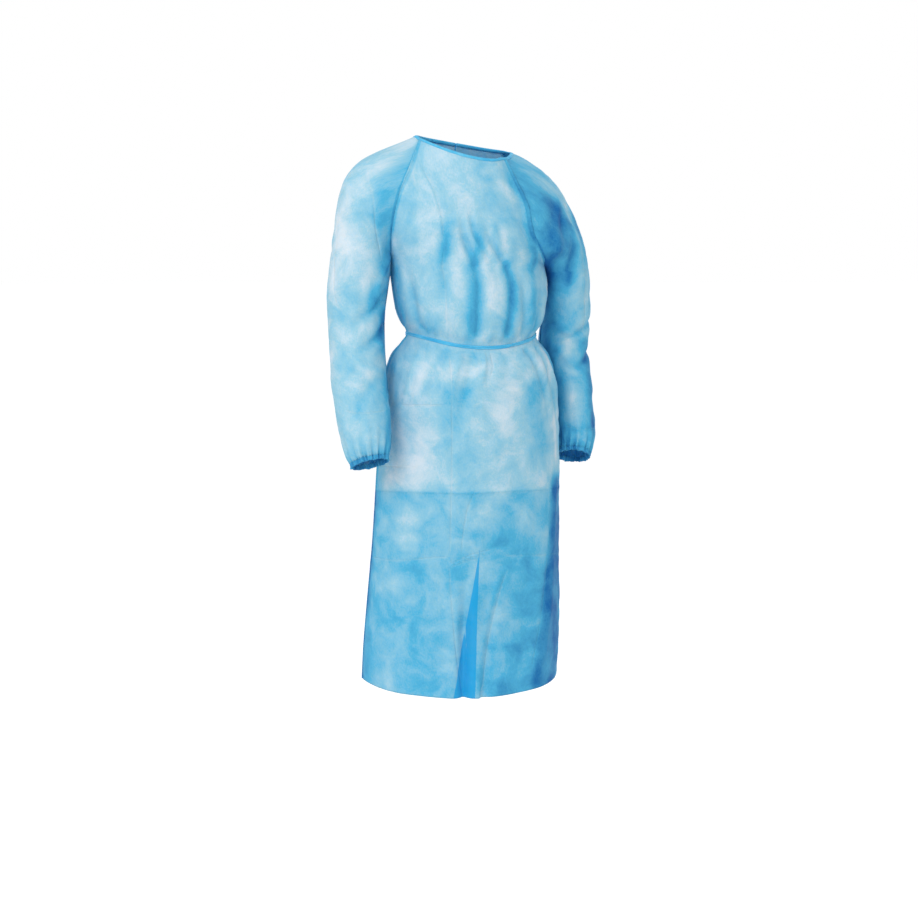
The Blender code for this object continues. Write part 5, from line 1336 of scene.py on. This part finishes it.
def stitchTree(name, material):  # a row of stitches along each line, slanted over it
    tree = bpy.data.node_groups.new(name, "GeometryNodeTree")
    face = tree.interface
    face.new_socket(name="Geometry", in_out="INPUT", socket_type="NodeSocketGeometry")
    face.new_socket(name="Geometry", in_out="OUTPUT", socket_type="NodeSocketGeometry")
    for key in ("pitch", "length", "radius", "slant", "uneven"):
        face.new_socket(name=key, in_out="INPUT", socket_type="NodeSocketFloat")
    face.new_socket(name="seed", in_out="INPUT", socket_type="NodeSocketInt")
    given = addNode(tree, "NodeGroupInput").outputs
    line = addNode(tree, "GeometryNodeMeshToCurve", {"Mesh": given["Geometry"]}).outputs[0]
    points = addNode(tree, "GeometryNodeCurveToPoints", {"Curve": line, "Length": given["pitch"]},
                     mode="LENGTH")
    out = addNode(tree, "GeometryNodeInputNamedAttribute", {"Name": "out"},
                  data_type="FLOAT_VECTOR").outputs[0]
    turned = addNode(tree, "FunctionNodeAxesToRotation", {
        "Primary Axis": points.outputs["Tangent"], "Secondary Axis": out},
        primary_axis="Z", secondary_axis="X").outputs[0]
    least, most = (addNode(tree, "ShaderNodeMath", {0: given["slant"], 1: given["uneven"]},
                           operation=kind).outputs[0] for kind in ("SUBTRACT", "ADD"))
    lean = addNode(tree, "FunctionNodeRandomValue", {2: least, 3: most, "Seed": given["seed"]},
                   data_type="FLOAT").outputs[1]
    lean = addNode(tree, "ShaderNodeCombineXYZ", {0: lean}).outputs[0]
    lean = addNode(tree, "FunctionNodeEulerToRotation", {0: lean}).outputs[0]
    turned = addNode(tree, "FunctionNodeRotateRotation", {"Rotation": turned, "Rotate By": lean},
                     rotation_space="LOCAL").outputs[0]
    half = addNode(tree, "ShaderNodeMath", {0: given["length"], 1: 0.5}, operation="MULTIPLY").outputs[0]
    size = addNode(tree, "ShaderNodeCombineXYZ", {0: given["radius"], 1: given["radius"], 2: half}).outputs[0]
    bead = addNode(tree, "GeometryNodeMeshUVSphere", {"Segments": 6, "Rings": 4, "Radius": 1.0}).outputs[0]
    bead = addNode(tree, "GeometryNodeTransform", {"Geometry": bead, "Scale": size}).outputs[0]
    made = addNode(tree, "GeometryNodeInstanceOnPoints", {
        "Points": points.outputs["Points"], "Instance": bead, "Rotation": turned}).outputs[0]
    made = addNode(tree, "GeometryNodeRealizeInstances", {"Geometry": made}).outputs[0]
    made = addNode(tree, "GeometryNodeSetShadeSmooth", {"Geometry": made}).outputs[0]
    made = addNode(tree, "GeometryNodeSetMaterial", {"Geometry": made, "Material": material}).outputs[0]
    addNode(tree, "NodeGroupOutput", {"Geometry": made})
    return tree


def stitchRows(name, lines, settings, tree):  # lines: points, and the way out of the cloth at each
    vertices, edges, outs = [], [], []
    for points, out in lines:
        first = len(vertices)
        vertices += (points + out * settings["lift"]).tolist()
        edges += [(first + k, first + k + 1) for k in range(len(points) - 1)]
        outs += out.tolist()
    mesh = bpy.data.meshes.new(name)
    mesh.from_pydata(vertices, edges, [])
    made = bpy.data.objects.new(name, mesh)
    bpy.context.scene.collection.objects.link(made)
    setAttribute(made, "out", outs)
    modifier = made.modifiers.new("stitches", "NODES")
    modifier.node_group = tree
    for item in tree.interface.items_tree:
        if item.in_out == "INPUT" and item.name in settings:
            modifier[item.identifier] = settings[item.name]
    shown = made.evaluated_get(bpy.context.evaluated_depsgraph_get())
    plain = bpy.data.meshes.new_from_object(shown)
    made.modifiers.clear()
    made.data = plain
    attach(made, "root")
    return made


threadLook = threadMaterial("spun polyester thread, blue")
seamTree = stitchTree("slanted stitches", threadLook)
armpitRow = sizes["bodyRows"] - 1
raglan, belowArm = slice(armpitRow + 3, -3), slice(2, armpitRow - 2)
outward = {
    "front": normalsOf(frontData[0], True),
    "back": {1: normalsOf(backData[1][0], True), -1: normalsOf(backData[-1][0], False)},
    "sleeve": {1: normalsOf(sleeveData[1][0], False), -1: normalsOf(sleeveData[-1][0], True)},
}
raglanLines = [(frontData[0][raglan, end], outward["front"][raglan, end]) for end in (0, -1)]
raglanLines += [(backData[side][0][raglan, 0], outward["back"][side][raglan, 0]) for side in (1, -1)]
sideLines = [(backData[side][0][belowArm, 0], outward["back"][side][belowArm, 0]) for side in (1, -1)]
underarm = slice(len(yokeParts) + 3, -2)
underarmLines = [(sleeveData[side][0][underarm, 0], outward["sleeve"][side][underarm, 0]) for side in (1, -1)]
raglanStitches = stitchRows("raglan_seam_stitches", raglanLines, stitching, seamTree)
sideStitches = stitchRows("side_seam_stitches", sideLines, stitching, seamTree)
underarmStitches = stitchRows("underarm_seam_stitches", underarmLines, stitching, seamTree)
neckLine = neckEdge - neckUp * binding["depth"] * 0.72 + neckOut * binding["outer"]
neckLines = [(neckLine[3:-3], neckOut[3:-3])]
neckStitches = stitchRows("neck_binding_stitches", neckLines, bindingStitching, seamTree)
print("stage 7 of 8: stitches", [len(o.data.polygons) for o in (raglanStitches, sideStitches, neckStitches)])

view = {"angle": math.radians(-16), "pitch": math.radians(6.5), "distance": 3.5, "height": -0.2695,
        "lens": 63.84, "shift": -0.0065}


def photoCamera():
    lens = bpy.data.cameras.new("photo_lens")
    lens.lens = view["lens"]
    lens.shift_x = view["shift"]
    camera = bpy.data.objects.new("photo_camera", lens)
    away = view["distance"]
    camera.location = (math.sin(view["angle"]) * away, -math.cos(view["angle"]) * away, view["height"])
    camera.rotation_euler = (math.pi / 2 - view["pitch"], 0, view["angle"])
    bpy.context.scene.collection.objects.link(camera)
    bpy.context.scene.camera = camera


studio = {
    "floorZ": -1.52, "floorSize": 400.0, "floor": "#f4f4f4", "floorGlow": 0.25, "white": 1.0, "fill": 0.86,
    "keyPower": 62.0, "keySize": 2.2, "key": (-2.6, -2.9, 1.5),
    "rimPower": 16.0, "rimSize": 1.4, "rim": (1.8, 2.6, 0.6),
}


def addLight(name, place, power, size, target=(0, 0, -0.55)):
    data = bpy.data.lights.new(name, "AREA")
    data.energy = power
    data.shape = "DISK"
    data.size = size
    made = bpy.data.objects.new(name, data)
    made.location = place
    direction = np.array(target) - np.array(place)
    yaw = math.atan2(direction[1], direction[0]) - math.pi / 2
    pitch = math.atan2(direction[2], math.hypot(direction[0], direction[1])) + math.pi / 2
    made.rotation_euler = (pitch, 0, yaw)
    bpy.context.scene.collection.objects.link(made)


def studioWorld():
    world = bpy.data.worlds.new("white studio")
    bpy.context.scene.world = world
    world.use_nodes = True
    tree = world.node_tree
    tree.nodes.clear()
    seen = addNode(tree, "ShaderNodeLightPath").outputs["Is Camera Ray"]
    strength = addNode(tree, "ShaderNodeMapRange", {"Value": seen, 3: studio["fill"],
                                                    4: studio["white"]}).outputs[0]
    light = addNode(tree, "ShaderNodeBackground", {"Color": (1, 1, 1, 1), "Strength": strength}).outputs[0]
    addNode(tree, "ShaderNodeOutputWorld", {"Surface": light})


def studioFloor():
    half = studio["floorSize"] / 2
    corners = [(x * half, y * half, studio["floorZ"]) for x, y in ((-1, -1), (1, -1), (1, 1), (-1, 1))]
    floor = addObject("studio_floor", np.array(corners), [(0, 1, 2, 3)])
    material = bpy.data.materials.new("matt white floor")
    material.use_nodes = True
    shader = material.node_tree.nodes["Principled BSDF"]
    shader.inputs["Base Color"].default_value = linear(studio["floor"])
    shader.inputs["Roughness"].default_value = 0.9
    shader.inputs["Emission Color"].default_value = (1, 1, 1, 1)
    shader.inputs["Emission Strength"].default_value = studio["floorGlow"]
    floor.visible_diffuse = False
    floor.data.materials.append(material)


photoCamera()
studioWorld()
studioFloor()
for light in ("key", "rim"):
    addLight(f"{light}_softbox", studio[light], studio[f"{light}Power"], studio[f"{light}Size"])
bpy.context.scene.view_settings.view_transform = "Standard"
print("stage 8 of 8: camera, studio and lights")
